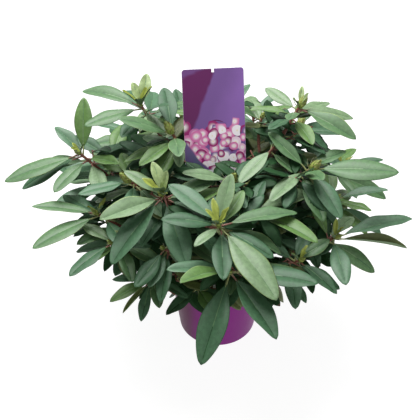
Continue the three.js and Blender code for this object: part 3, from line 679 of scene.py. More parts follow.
class Look:
    """A node material, with its Principled shader and the nodes that feed it."""

    def __init__(self, name, **constants):
        self.material = bpy.data.materials.new(name)
        self.material.use_nodes = True
        self.tree = self.material.node_tree
        self.shader = self.tree.nodes["Principled BSDF"]
        for socket, value in constants.items():
            self.shader.inputs[socket.replace("_", " ")].default_value = value

    def add(self, kind, settings=None, sockets=None):
        """Any other node: its settings first, then the values or links of its sockets."""
        node = self.tree.nodes.new(kind)
        for name, value in (settings or {}).items():
            setattr(node, name, value)
        for name, value in (sockets or {}).items():
            self.feed(node.inputs[name], value)
        return node

    def feed(self, socket, value):
        if isinstance(value, Value):
            self.tree.links.new(value.socket, socket)
        else:
            socket.default_value = (*value, 1) if socket.type == "RGBA" and len(value) == 3 else value

    def place(self):
        """The point of the surface, in the part's own frame, in metres."""
        return Value(self, self.add("ShaderNodeTexCoord").outputs["Object"])

    def dot(self, vector, direction):
        """How far a vector goes in a direction."""
        node = self.add("ShaderNodeVectorMath", {"operation": "DOT_PRODUCT"}, {0: vector, 1: direction})
        return Value(self, node.outputs["Value"])

    def stretched(self, vector, scale):
        node = self.add("ShaderNodeVectorMath", {"operation": "MULTIPLY"}, {0: vector, 1: scale})
        return Value(self, node.outputs["Vector"])

    def joined(self, x, y):
        return Value(self, self.add("ShaderNodeCombineXYZ", None, {0: x, 1: y}).outputs[0])

    def noise(self, scale, detail=2.0, vector=None):
        node = self.add("ShaderNodeTexNoise", None,
                        {"Vector": vector or self.place(), "Scale": scale, "Detail": detail})
        return Value(self, node.outputs["Fac"])

    def cells(self, scale, vector, randomness):
        """A Voronoi pattern: the distance from each cell's point, the cell's chance and its point."""
        node = self.add("ShaderNodeTexVoronoi", {"voronoi_dimensions": "2D"},
                        {"Vector": vector, "Scale": scale, "Randomness": randomness})
        chance = self.add("ShaderNodeSeparateColor", None, {0: Value(self, node.outputs["Color"])})
        return (Value(self, node.outputs["Distance"]), Value(self, chance.outputs[0]),
                Value(self, node.outputs["Position"]))

    def mix(self, factor, first, second):
        """One colour to another by a factor."""
        node = self.add("ShaderNodeMix", {"data_type": "RGBA"}, {0: factor, 6: first, 7: second})
        return Value(self, node.outputs[2])

    def finish(self, colour, roughness, height=None, distance=0.0004, strength=0.4):
        self.feed(self.shader.inputs["Base Color"], colour)
        self.feed(self.shader.inputs["Roughness"], roughness)
        if height is not None:
            bump = self.add("ShaderNodeBump", None,
                            {"Height": height, "Distance": distance, "Strength": strength})
            self.feed(self.shader.inputs["Normal"], Value(self, bump.outputs[0]))
        return self.material


# ---------------------------------------------------------------- settings


def colour(label, what, default):
    return FloatVectorProperty(name=label, description=f"Colour of {what}", default=default, subtype="COLOR",
                               min=0, max=1)


def amount(label, what, default, most=1.0):
    return FloatProperty(name=label, description=what, default=default, min=0, max=most, subtype="FACTOR")


def size(label, what, millimetres):
    return FloatProperty(name=label, description=what, default=millimetres * MM, min=0, unit="LENGTH")


class LeafSettings(bpy.types.PropertyGroup):
    thickness: size("Thickness", "Thickness of a leaf's blade", 0.6)
    vein_spacing: size("Vein Spacing", "Distance between side veins along the midrib", 8)
    vein_depth: size("Vein Depth", "How far the side veins are sunk", 0.45)
    margin_roll: amount("Margin Roll", "How far the margins roll down, of the half width", 0.14)
    wave: size("Wave", "Waviness of the margins", 1.2)
    # Shade and Deep are dark partly as painted shade, for leaves deep and low in the crown; Light is paler
    # partly as painted light, for upper leaves.
    shade: colour("Shade", "the old leaves deep in the plant", (0.016, 0.054, 0.018))
    deep: colour("Deep", "the dark outer leaves", (0.038, 0.100, 0.046))
    mid: colour("Mid", "most leaves", (0.071, 0.152, 0.058))
    blue: colour("Blue", "the bluish leaves", (0.058, 0.138, 0.068))
    light: colour("Light", "the paler leaves", (0.136, 0.220, 0.106))
    grass: colour("Grass", "the greenest leaves", (0.084, 0.172, 0.040))
    olive: colour("Olive", "the olive leaves", (0.105, 0.135, 0.038))
    fresh: colour("Fresh", "the yellow young leaves", (0.240, 0.290, 0.045))
    pale: colour("Pale", "the pale young leaves", (0.260, 0.345, 0.150))
    margin: colour("Margin", "the pale margins", (0.180, 0.262, 0.095))
    under: colour("Underside", "the leaves' undersides", (0.120, 0.185, 0.090))
    stalk_red: colour("Red Stalks", "the reddish leaf stalks", (0.200, 0.085, 0.060))
    stalk_green: colour("Green Stalks", "the greenish leaf stalks", (0.230, 0.260, 0.095))
    brown: colour("Brown Tips", "dry leaf tips", (0.100, 0.055, 0.030))


class WoodSettings(bpy.types.PropertyGroup):
    relief: size("Bark Relief", "Depth of the bark's furrows", 0.9)
    bark: colour("Bark", "the old bark", (0.120, 0.078, 0.052))
    furrow: colour("Furrow", "the inside of the bark's furrows", (0.035, 0.020, 0.013))
    young: colour("Young Wood", "this year's shoots", (0.125, 0.045, 0.028))


class BudSettings(bpy.types.PropertyGroup):
    scale: colour("Scale", "the bud scales", (0.235, 0.300, 0.060))
    edge: colour("Scale Edge", "the scales' brownish edges", (0.210, 0.190, 0.050))
    bract: colour("Bract", "the thin bracts under a bud", (0.420, 0.450, 0.270))
    scales: IntProperty(name="Scales", description="Scales on a flower bud", default=17, min=4, max=40)


class PotSettings(bpy.types.PropertyGroup):
    # Partly painted light and shade: the dark side is the pot's left and the bright side its right, as if
    # lit from the right.
    dark: colour("Dark Side", "the pot's dark side", (0.072, 0.001, 0.042))
    bright: colour("Bright Side", "the pot's bright side", (0.190, 0.008, 0.175))
    compost: colour("Compost", "the moist compost", (0.030, 0.017, 0.010))
    chips: IntProperty(name="Bark Chips", description="Bark chips lying on the compost", default=420,
                       min=0, max=2000)


class LabelSettings(bpy.types.PropertyGroup):
    plum: colour("Plum", "the print's dark field", (0.125, 0.008, 0.100))
    violet: colour("Violet", "the print's light field", (0.185, 0.088, 0.305))
    magenta: colour("Magenta", "the print's deepest discs", (0.330, 0.010, 0.150))
    pink: colour("Pink", "the print's pink discs", (0.700, 0.170, 0.430))
    white: colour("White", "the print's palest discs", (0.990, 0.930, 0.980))
    slate: colour("Slate", "the print's slate patch", (0.090, 0.110, 0.200))
    eye: colour("Eye", "the small dots on the discs", (0.850, 0.640, 0.160))


class StageSettings(bpy.types.PropertyGroup):
    focal_length: FloatProperty(name="Focal Length", description="Focal length of the camera",
                                default=77.14, min=20, unit="CAMERA")
    tilt: FloatProperty(name="Tilt", description="How far the camera looks down", default=math.radians(41),
                        subtype="ANGLE")
    floor: colour("Floor", "the floor", (0.22, 0.22, 0.22))
    glow: FloatProperty(name="Floor Glow", description="Brightness of the floor's own soft light",
                        default=0.9, min=0)
    sky: FloatProperty(name="Sky", description="Strength of the light all round", default=0.3, min=0)
    lamp: FloatProperty(name="Lamp", description="Power of the soft lamp overhead", default=86, min=0,
                        unit="POWER")
    fill: FloatProperty(name="Fill", description="Power of the soft lamp in front", default=8, min=0,
                        unit="POWER")


SETTINGS = dict(leaves=LeafSettings, wood=WoodSettings, buds=BudSettings, pot=PotSettings,
                label=LabelSettings, stage=StageSettings)


class PlantSettings(bpy.types.PropertyGroup):
    __annotations__ = {name: PointerProperty(type=kind) for name, kind in SETTINGS.items()}


def times(shade, factor):
    """A colour made darker or lighter."""
    return tuple(min(1.0, c * factor) for c in shade)


# ---------------------------------------------------------------- leaves

# Each tone of blade, with the tones of its midrib near the stalk and beyond. The tone beyond, mostly darker,
# is painted shade in the midrib's groove.
TONES = dict(shade=("deep", "shade"), deep=("mid", "shade"), mid=("light", "deep"), blue=("mid", "deep"),
             light=("light", "mid"), grass=("light", "mid"), olive=("margin", "grass"),
             fresh=("fresh", "fresh"), pale=("pale", "light"))
# The tones of each shoot's set leaves, in order, then of its young leaves. The rest are drawn by chance.
# Deep tones low in front and light tones up top are partly painted shade and light.
TINTS = {
    "left_crest": [(("mid", "mid", "light"), ("pale", "fresh", "fresh", "pale", "fresh", "fresh")),
                   (("deep", "mid"), ())],
    "left_high": [(("mid", "deep", "grass", "blue"), ("fresh",) * 4)],
    "left_middle": [(("blue",), ()),
                    (("deep", "blue", "light"), ("pale", "fresh", "pale", "fresh", "fresh", "pale"))],
    "left_low": [(("mid", "mid", "deep"), ("fresh",) * 3), (("deep",), ())],
    "front_left_low": [(("deep",), ()), (("olive", "deep"), ()), (("deep", "grass"), ())],
    "front": [(("light", "mid", "blue", "light", "grass", "light"), ("fresh",) * 5),
              (("light", "grass"), ())],
    "front_low": [(("deep", "deep", "deep", "grass"), ()), (("deep",), ("fresh",) * 3),
                  (("deep", "deep"), ())],
    "centre": [(("blue", "light"), ()), (("light",), ())],
    "right_high": [(("mid", "blue", "mid", "light"), ()), (("mid", "light", "light"), ("pale",) * 3)],
    "right_low": [(("blue", "olive", "blue"), ("fresh",) * 3), (("blue",), ())],
}
# Paler leaves above these heights are painted light from above.
UPPER, MIDDLE = 320, 240  # heights of the shoots' tips above which their leaves are paler
SPECULAR = dict(shade=0.16, deep=0.34, under=0.2, light=0.55)  # the other tones have 0.5
COLUMNS = (-1, -0.93, -0.72, -0.42, -0.1, 0, 0.1, 0.42, 0.72, 0.93, 1)
FEW_COLUMNS = (-1, -0.5, 0, 0.5, 1)  # across a leaf deep in the plant
FEW_ROWS = 9
TURN = 6.28  # a full turn, near enough for ripples
# A blade's shape: its foot's half width in millimetres, the exponents of its outline, and how far leaves
# differ. Pairs are lower and upper limits.
BLADE = Spec(foot=0.7, widest=1.05, blunt=0.37, sway=0.02, twist=0.16, lift=0.022, calm=0.3,
             ripples=(1.2, 2.4), fold=(-0.05, 0.1), young_fold=0.22, roll=(0.4, 1.4), veins=(4, 13),
             slant=0.6, bow=1.2, thinner=0.6)
FOLDED = Spec(chance=0.4, fold=0.2, slim=0.9)  # leaves that are folded up along the midrib
EDGE_ON = Spec(fold=1.5, slim=0.4)  # set olive leaves, which are nearly closed
MIDRIB = Spec(half=0.55, groove=0.6, under=0.9, most=0.3)  # in millimetres, but most of the half width
QUILT = Spec(vein=-1.0, between=0.6)  # heights at the side veins and between them, of the veins' depth
CHANCE = Spec(margin=0.6, brown=0.25, green_stalk=0.55)
# A stalk's radii and its sinking are in millimetres, and its overlap is of the leaf's length.
STALK = Spec(rings=6, few_rings=3, sides=7, few_sides=4, overlap=0.03, sink=0.9, foot=1.6, top=1.05,
             young=0.7)
COAT = Spec(weight=0.04, roughness=0.45)


def leaf_materials(leaves):
    """A material for each tone of blade, and for the margins, midribs, undersides and stalks."""
    looks = {}
    for name in (*TONES, "margin", "under", "stalk_red", "stalk_green", "brown"):
        shade = getattr(leaves, name)
        dull = name in ("under", "brown")
        look = Look(f"leaf_{name}")
        patches = look.noise(170, 5)
        specks = look.noise(800, 2)
        look.shader.inputs["Specular IOR Level"].default_value = SPECULAR.get(name, 0.5)
        look.shader.inputs["Coat Weight"].default_value = 0 if dull or name == "shade" else COAT.weight
        look.shader.inputs["Coat Roughness"].default_value = COAT.roughness
        grain = 0.65 * patches.step(0.32, 0.68) + 0.35 * specks.step(0.35, 0.65)
        colours = look.mix(grain, times(shade, 0.8), times(shade, 1.2))
        looks[name] = look.finish(colours, (0.62 if dull else 0.46) + 0.12 * patches, specks,
                                  distance=0.0002, strength=0.3)
    return looks


def tone_of(leaf, shoot, draw):
    """Upper and outer leaves are paler than the ones deep in the plant: painted light and shade, the darker
    tones standing in for the shade inside and low in the crown.
    """
    if leaf.tint:
        return leaf.tint
    if leaf.kind == "young":
        return draw.pick(("fresh", "fresh", "pale"))
    if leaf.kind == "inner":
        return draw.pick(("shade", "shade", "deep", "shade", "olive"))
    if leaf.kind == "older" or shoot.row.inner:
        return draw.pick(("shade", "deep", "deep", "mid"))
    height = shoot.row.at[2]
    if height > UPPER:
        return draw.pick(("mid", "blue", "light", "deep", "mid", "grass"))
    if height > MIDDLE:
        return draw.pick(("mid", "blue", "deep", "light", "grass", "deep"))
    return draw.pick(("mid", "deep", "mid", "blue", "grass", "deep"))


def blade_half(leaf, u):
    """Half the blade's width from its foot at u = 0 to its tip at u = 1."""
    bulge = np.sin(np.pi * u ** BLADE.widest).clip(0) ** (1.0 - BLADE.blunt * u)
    return BLADE.foot + leaf.width * leaf.length * bulge / 2


def add_leaf(pile, leaf, shoot, leaves, draw):
    """One leaf: a thin blade with rolled margins, sunk veins and a midrib, on its stalk."""
    petiole, length, half_rib = LEAF.petiole, leaf.length, MIDRIB.half
    tone, young, fine = tone_of(leaf, shoot, draw), leaf.kind == "young", leaf.kind != "inner"
    sway, twist = draw.spread(BLADE.sway), draw.spread(BLADE.twist)
    lift = LEAF.arch + draw.spread(BLADE.lift)
    wave = draw.between(BLADE.calm, 1) * leaves.wave / MM
    ripples, phase = draw.between(*BLADE.ripples), draw.next() * TURN
    fold, slim = LEAF.fold + draw.between(*BLADE.fold) + (BLADE.young_fold if young else 0), 1
    if fine and not young and draw.next() < FOLDED.chance:
        fold, slim = fold + FOLDED.fold, FOLDED.slim
    if tone == "olive" and leaf.kind == "set":
        fold, slim = EDGE_ON.fold, EDGE_ON.slim
    roll = leaves.margin_roll * draw.between(*BLADE.roll)
    veins = int(np.clip(round(length * (1 - petiole) / (leaves.vein_spacing / MM)), *BLADE.veins))

    rows = 2 * veins + 3 if fine else FEW_ROWS
    u_row = np.linspace(0, 1, rows)[:, None]
    half_row = slim * blade_half(leaf, u_row)
    s = np.array(COLUMNS if fine else FEW_COLUMNS)[None] * np.ones((rows, 1))
    if fine:
        rib = np.minimum(half_rib / half_row, MIDRIB.most)
        s[:, [4, 6]] = np.hstack([-rib, rib])
    slant = BLADE.slant * abs(s) * half_row / (length * (1 - petiole)) * (1 - u_row ** 4)
    u = np.minimum(u_row + slant, 1)
    t = petiole + u * (1 - petiole)
    half = slim * blade_half(leaf, u)

    inside = smooth_step(0, 0.25, abs(s)) * (1 - smooth_step(0.8, 1, abs(s)))
    odd = (np.arange(rows) % 2)[:, None]
    ends = smooth_step(0, 0.08, u) * (1 - smooth_step(0.9, 1, u))
    depth = leaves.vein_depth / MM if fine else 0
    quilt = np.where(odd == 1, QUILT.vein, QUILT.between) * depth * inside * ends
    groove = -MIDRIB.groove * np.exp(-(s * half / half_rib) ** 2) * ends
    edge = abs(s) ** 2 * np.sin(TURN * ripples * u + phase + 1.7 * (s > 0)) * wave * ends
    droop = -roll * half * smooth_step(0.7, 1, abs(s))
    bowed = fold * half * abs(s) ** BLADE.bow
    height = lift * length * 4 * t * (1 - t) + bowed + quilt + groove + edge + droop
    aside = sway * length * 4 * t * (1 - t)
    turn = twist * (t - 0.5)[..., None]
    across = leaf.across * np.cos(turn) + leaf.over * np.sin(turn)
    over = leaf.over * np.cos(turn) - leaf.across * np.sin(turn)
    spine = leaf.root + leaf.along * (t * length)[..., None]
    top = spine + across * (s * half)[..., None] + leaf.across * aside[..., None] + over * height[..., None]
    rib_depth = MIDRIB.under * np.exp(-(s * half / half_rib) ** 2) * (1 - u)
    thick = leaves.thickness / MM * (1 - BLADE.thinner * s ** 4) + rib_depth
    points, faces = closed_sheet(top, top - over * thick[..., None])
    pile.add(points, faces, blade_looks(tone, leaf.kind, rows, s.shape[1] - 1, draw))

    rings = STALK.rings if fine else STALK.few_rings
    share = np.linspace(0, 1, rings)
    t = share * (petiole + STALK.overlap)
    rise = lift * length * 4 * t * (1 - t) - STALK.sink * share
    centres = (leaf.root + leaf.along * (t * length)[:, None] + leaf.over * rise[:, None]
               + leaf.across * (sway * length * 4 * t * (1 - t))[:, None]
               + (leaf.foot - leaf.root) * ((1 - share) ** 2)[:, None])
    thick = (STALK.young if young else 1.0) * np.linspace(STALK.foot, STALK.top, rings)
    stalk = "stalk_green" if young or draw.next() < CHANCE.green_stalk else "stalk_red"
    sides = STALK.sides if fine else STALK.few_sides
    pile.add(*tube(centres, directions(centres), thick, sides), stalk)


def blade_looks(tone, kind, rows, across, draw):
    """The look of each face of a blade: its margins, its midrib, its underside and at times a dry tip."""
    columns, fine = [tone] * across, kind != "inner"
    if fine and tone not in ("shade", "deep", "blue") and draw.next() < CHANCE.margin:
        columns[0] = columns[-1] = "margin"
    looks = [columns] * (rows - 1) + [["under"] * across] * (rows - 1)
    if fine:
        for row in range(rows - 3):
            # Near the stalk the midrib is paler; beyond the middle its darker tone is painted shade in its
            # groove.
            looks[row] = columns[:4] + [TONES[tone][row > rows // 2]] * 2 + columns[6:]
    if kind == "older" and draw.next() < CHANCE.brown:
        looks[rows - 2] = ["brown"] * across
    return [look for row in looks for look in row] + ["under", "under"]


def make_leaves(settings):
    leaves = settings.leaves
    materials = leaf_materials(leaves)
    for m, mass in enumerate(MASSES):
        pile = Pile()
        tints = TINTS.get(mass.name, [])
        for i, shoot in shoots_of(m):
            draw = Draw(SEED.leaves + 40 * m + i)
            kept_set, kept_young = tints[i] if i < len(tints) else ((), ())
            for leaf in shoot.leaves:
                tones = kept_young if leaf.kind == "young" else kept_set if leaf.kind == "set" else ()
                leaf.tint = tones[leaf.number] if leaf.number < len(tones) else None
                add_leaf(pile, leaf, shoot, leaves, draw)
        piece = pile.to_object(f"leaves_{mass.name}", materials)
        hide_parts(f"foliage_{mass.name}")
        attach(piece, "root")


# ---------------------------------------------------------------- wood and buds

# Rings along limbs, points round them, millimetres off or on a radius, and shares of the stem's relief.
BARK = Spec(rings=40, stem_sides=28, bough_sides=14, fork_rings=6, fork_sides=12, twig_sides=10,
            side_sides=6, sunk=0.4, thicker=0.5, bough_share=0.45, fork_share=0.3, twig_share=0.2,
            side_taper=0.8)
# Rings of scars that whorls of earlier years left, as shares of the way along a twig.
SCARS = Spec(at=(0.36, 0.39, 0.68, 0.71), swell=0.16, width=0.014)
# Shares of the way along a twig, and its radius there.
TWIG_RADII = ([0, 0.5, 1], [3.1, 2.5, 2.3])


def wood_materials(wood):
    """Furrowed old bark, and the smoother skin of young shoots."""
    bark = Look("bark", Specular_IOR_Level=0.3)
    grain = bark.noise(260, 5, bark.stretched(bark.place(), (1, 1, 0.25)))
    shades = bark.mix(grain.step(0.3, 0.62), wood.furrow, times(wood.bark, 1.1))
    young = Look("young_wood", Specular_IOR_Level=0.4)
    flecks = young.noise(420, 3)
    return dict(
        bark=bark.finish(shades, 0.8 + 0.1 * grain, grain, distance=0.001, strength=0.6),
        young_wood=young.finish(young.mix(flecks.step(0.4, 0.7), wood.young, times(wood.young, 2.1)),
                                0.5 + 0.2 * flecks, flecks, distance=0.0004, strength=0.4),
    )


def bark_tube(path, radii, sides, depth, seed):
    """A limb's tube with furrowed bark."""
    points, _ = tube(path.points, path.along, radii, sides)
    rough = relief(points, 5, 4, seed).reshape(len(radii), sides)
    return tube(path.points, path.along, np.asarray(radii)[:, None] + depth * rough, sides)


def make_boughs(settings):
    """The short stem and the boughs that leave it, with the bark's relief."""
    depth = settings.wood.relief / MM
    materials = wood_materials(settings.wood)
    height = STEM.top - STEM.foot
    up = np.linspace(0, height, BARK.rings)
    flare = np.interp(up, [0, STEM.flare_height * 0.4, STEM.flare_height, 0.8 * height, height], [
        STEM.flare_radius, (STEM.flare_radius + STEM.radius) / 2, STEM.radius,
        STEM.radius * 0.96, STEM.top_radius])
    centres = np.stack([STEM.lean_x * up / height, 0 * up, STEM.foot + up], axis=1)
    stem = Pile()
    path = Path(centres, np.tile(UP, (BARK.rings, 1)))
    stem.add(*bark_tube(path, flare - BARK.sunk, BARK.stem_sides, depth, SEED.stem), "bark")
    piece = stem.to_object("stem_bark", materials)
    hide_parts("stem")
    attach(piece, "root")

    pile = Pile()
    for m, limbs in enumerate(grown()[0]):
        path, rough = limbs["fine_bough"], BARK.bough_share * depth
        radii = np.linspace(BOUGH.base_radius + BARK.thicker, BOUGH.tip_radius, len(path.points))
        pile.add(*bark_tube(path, radii, BARK.bough_sides, rough, SEED.bough + m), "bark")
    piece = pile.to_object("boughs_bark", materials)
    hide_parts(*[f"bough_{mass.name}" for mass in MASSES])
    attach(piece, "root")


def make_twigs(settings):
    """Each mass's twigs: old wood to the fork, young wood towards the buds, with scars of old whorls."""
    materials = wood_materials(settings.wood)
    depth = settings.wood.relief / MM
    rings, sides = BARK.fork_rings, BARK.twig_sides
    for m, (mass, limbs) in enumerate(zip(MASSES, grown()[0])):
        pile = Pile()
        start, end = limbs["stem"].points
        stem = Path(np.linspace(start, end, rings), np.repeat(limbs["stem"].along[:1], rings, axis=0))
        radii, rough = np.full(rings, BOUGH.tip_radius), BARK.fork_share * depth
        pile.add(*bark_tube(stem, radii, BARK.fork_sides, rough, SEED.fork + m), "bark")
        for i, path in enumerate(limbs["fine_twigs"]):
            count, seed = len(path.points), SEED.twig + 10 * m + i
            share = np.linspace(0, 1, count)
            scars = sum(SCARS.swell * np.exp(-((share - at) / SCARS.width) ** 2) for at in SCARS.at)
            radii = np.interp(share, *TWIG_RADII) * (1 + scars)
            points, faces = bark_tube(path, radii, sides, BARK.twig_share * depth, seed)
            ring_of = np.minimum(np.arange(len(faces)) // sides, count)
            looks = ["bark" if ring < 0.5 * count else "young_wood" for ring in ring_of]
            looks[-2:] = ["bark", "young_wood"]
            pile.add(points, faces, looks)
        for _, shoot in shoots_of(m):
            for side in shoot.sides:
                radii = np.linspace(SIDE.radius, BARK.side_taper * SIDE.radius, len(side.points))
                pile.add(*tube(side.points, side.along, radii, BARK.side_sides), "young_wood")
        piece = pile.to_object(f"twigs_{mass.name}", materials)
        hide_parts(f"foliage_{mass.name}")
        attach(piece, "root")


def bud_materials(buds):
    looks = {}
    for name, shade in (("bud_scale", buds.scale), ("bud_edge", buds.edge), ("bract", buds.bract)):
        look = Look(name, Specular_IOR_Level=0.45)
        mottle = look.noise(500, 3)
        looks[name] = look.finish(look.mix(mottle.step(0.35, 0.7), times(shade, 0.8), times(shade, 1.15)),
                                  0.45 + 0.1 * mottle, mottle, distance=0.0003, strength=0.3)
    return looks


# A bud's core, its scales on a spiral and the bracts at its foot, in shares of its length and radius, and
# in millimetres for how far a scale stands off and flares.
BUD = Spec(sunk=0.15, reach=1.12, widest=0.72, blunt=0.85, least=0.25, core=0.9, core_rings=9, core_sides=10,
           first=0.02, spread=0.6, span=0.36, wrap=0.85, off=0.35, thickness=0.35, flare=(0.2, 1.6))
BRACT = Spec(count=4, quarter=1.57, lengths=(0.35, 0.6), rings=6, sides=5, thick=(0.8, 0.2))


def add_bud(pile, tip, along, radius, length, scales, seed):
    """A pointed bud: a core under overlapping scales, each with a brown edge and a free tip."""
    draw = Draw(seed)

    def swell(h):
        return radius * np.sin(np.pi * np.clip(h, 0, 1) ** BUD.widest) ** BUD.blunt + BUD.least

    side = unit(np.cross(along, (0.31, 0.95, 0.05)))
    over = np.cross(along, side)
    foot, reach = tip - BUD.sunk * length * along, BUD.reach * length
    h = np.linspace(0.04, 0.94, BUD.core_rings)
    core = tube(foot + along * (h * reach)[:, None], np.tile(along, (len(h), 1)), BUD.core * swell(h),
                BUD.core_sides)
    pile.add(*core, "bud_scale")
    a, v = np.meshgrid(np.linspace(1, -1, 5), np.linspace(0, 1, 6))
    for k in range(scales):
        start = BUD.first + BUD.spread * k / scales
        h = start + (BUD.span + draw.spread(0.04)) * v
        angle = (math.radians(LEAF.golden_angle * k) + draw.spread(0.1)
                 + a * BUD.wrap * (1 - v ** 2.2) ** 0.8)
        out = swell(h) + BUD.off + 0.5 * (1 - a * a) * v + draw.between(*BUD.flare) * v ** 4
        ring = side * np.cos(angle)[..., None] + over * np.sin(angle)[..., None]
        top = foot + along * (h * reach)[..., None] + ring * out[..., None]
        points, faces = closed_sheet(top, top - BUD.thickness * ring)
        looks = ["bud_edge" if row == 4 or column in (0, 3) and row > 2 else "bud_scale"
                 for row in range(5) for column in range(4)]
        pile.add(points, faces, looks * 2 + ["bud_scale", "bud_edge"])
    share = np.linspace(0, 1, BRACT.rings)
    for k in range(BRACT.count):
        angle = BRACT.quarter * k + draw.spread(0.5)
        out = side * math.cos(angle) + over * math.sin(angle)
        reach = draw.between(*BRACT.lengths) * length
        centres = (foot + along * (0.1 * length + 0.8 * reach * share ** 1.6)[:, None]
                   + out * (0.7 * radius + reach * share ** 0.8)[:, None])
        radii = np.linspace(*BRACT.thick, BRACT.rings)
        pile.add(*tube(centres, directions(centres), radii, BRACT.sides), "bract")


def make_buds(settings):
    """The buds at the shoots' tips, joined mass by mass."""
    materials, most = bud_materials(settings.buds), settings.buds.scales
    for m, mass in enumerate(MASSES):
        pile = Pile()
        for i, shoot in shoots_of(m):
            radius, length = BUDS[shoot.row.bud]
            scales = most if shoot.row.bud == "flower" else most // 2
            add_bud(pile, shoot.tip, shoot.along, radius, length, scales, SEED.buds + 10 * m + i)
        piece = pile.to_object(f"buds_{mass.name}", materials)
        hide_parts(f"foliage_{mass.name}")
        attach(piece, "root")


# ---------------------------------------------------------------- pot and compost

# The finished pot's mesh, with its lip's rounding in millimetres.
POT_FINE = Spec(sides=96, foot_steps=8, lip_round=2, lip_under=1, below_lip=2, tuck=0.2, corner=1.4)
DRILL = Spec(low=-3, high=6, sides=20)
# The compost's mesh, with its rim, its rough top and its lumps in millimetres.
COMPOST_FINE = Spec(sides=84, rings=26, inset=1.5, middle=4, below_rim=6, settled=2, rough_from=4, lump=9,
                    crumb=3.2, crumbs=0.6, rise=1.8)
# Bark chips lie on the compost, each a block with its corners pulled about. Sizes are half sizes.
CHIP = dict(clear=6, sunk=1.2, length=(1.5, 5), width=(0.8, 2.4), height=(0.4, 1.1), corners=(0.6, 1.1),
            tilt=0.5, turn=3.14, pale=(0.16, 0.09, 0.05))


def pot_radius(z):
    return POT.foot + (POT.rim - POT.foot) * z / POT.height


def rounded(profile, radius, steps=4):
    """Rounds the inner corners of a profile."""
    out = [profile[0]]
    for before, at, after in zip(profile, profile[1:], profile[2:]):
        before, at, after = (np.array(p, float) for p in (before, at, after))
        cut = min(radius, 0.45 * np.linalg.norm(at - before), 0.45 * np.linalg.norm(after - at))
        start, end = at + cut * unit(before - at), at + cut * unit(after - at)
        for t in np.linspace(0, 1, steps):
            out.append((1 - t) ** 2 * start + 2 * (1 - t) * t * at + t ** 2 * end)
    return np.array([*out, profile[-1]])


def make_pot(settings):
    """The pot's thin wall with its rolled lip and its drain holes."""
    look = Look("pot_plastic", Specular_IOR_Level=0.12)
    place = look.place()
    scuffs = look.noise(160, 4, look.stretched(place, (1, 1, 0.3)))
    # Partly painted light: the pot is darker on its left and brighter on its right, as if lit from the
    # right.
    side = look.dot(place, (1, -0.25, 0)) + 0.02 * look.noise(12, 1)
    colours = look.mix(side.step(-0.035, 0.005), settings.pot.dark, settings.pot.bright)
    colours = look.mix(scuffs.step(0.66, 0.85), colours, times(settings.pot.bright, 1.2))
    material = look.finish(colours, 0.34 + 0.14 * scuffs, look.noise(700, 2), distance=0.0002, strength=0.2)

    edge, wall, floor, top = POT.edge_round, POT.wall, POT.floor, POT.height
    lip, lip_foot = POT.rim + POT.lip_out, POT.height - POT.lip_height
    under = POT.foot - edge
    arc = np.linspace(0, np.pi / 2, POT_FINE.foot_steps)
    outer = [(under + edge * math.sin(a), edge * (1 - math.cos(a))) for a in arc]
    soft, below, wide = POT_FINE.lip_round, lip_foot - POT_FINE.below_lip, pot_radius(lip_foot)
    shell = [(wide - POT_FINE.tuck, below), (wide, lip_foot), (lip - POT_FINE.lip_under, lip_foot),
             (lip, top - soft), (lip - soft, top), (POT.rim - wall, top), (pot_radius(edge) - wall, edge),
             (under, floor), (0, floor)]
    profile = np.vstack([[(0, 0)], outer, rounded(shell, POT_FINE.corner)])
    pile = Pile()
    pile.add(*lathe(profile, POT_FINE.sides), "pot_plastic")
    piece = pile.to_object("pot_shell", {"pot_plastic": material})
    for i in range(POT.holes):
        x, y, _ = polar(360 / POT.holes * i, POT.hole_circle, 0)
        drill(piece, x, y, POT.hole_radius)
    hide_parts("pot")
    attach(piece, "root")


def drill(piece, x, y, radius):
    """Cuts a round hole through the pot's floor."""
    cutter = Pile()
    low, high = DRILL.low, DRILL.high
    cutter.add(*lathe([(0, low), (radius, low), (radius, high), (0, high)], DRILL.sides), "hole")
    bit = cutter.to_object("drill_bit", {"hole": piece.data.materials[0]}, smooth=False)
    bit.location = (x * MM, y * MM, 0)
    cut = piece.modifiers.new("hole", "BOOLEAN")
    cut.operation, cut.solver, cut.object = "DIFFERENCE", "EXACT", bit
    bpy.context.view_layer.update()
    done = bpy.data.meshes.new_from_object(piece.evaluated_get(bpy.context.evaluated_depsgraph_get()))
    piece.modifiers.clear()
    piece.data = done
    bpy.data.objects.remove(bit)


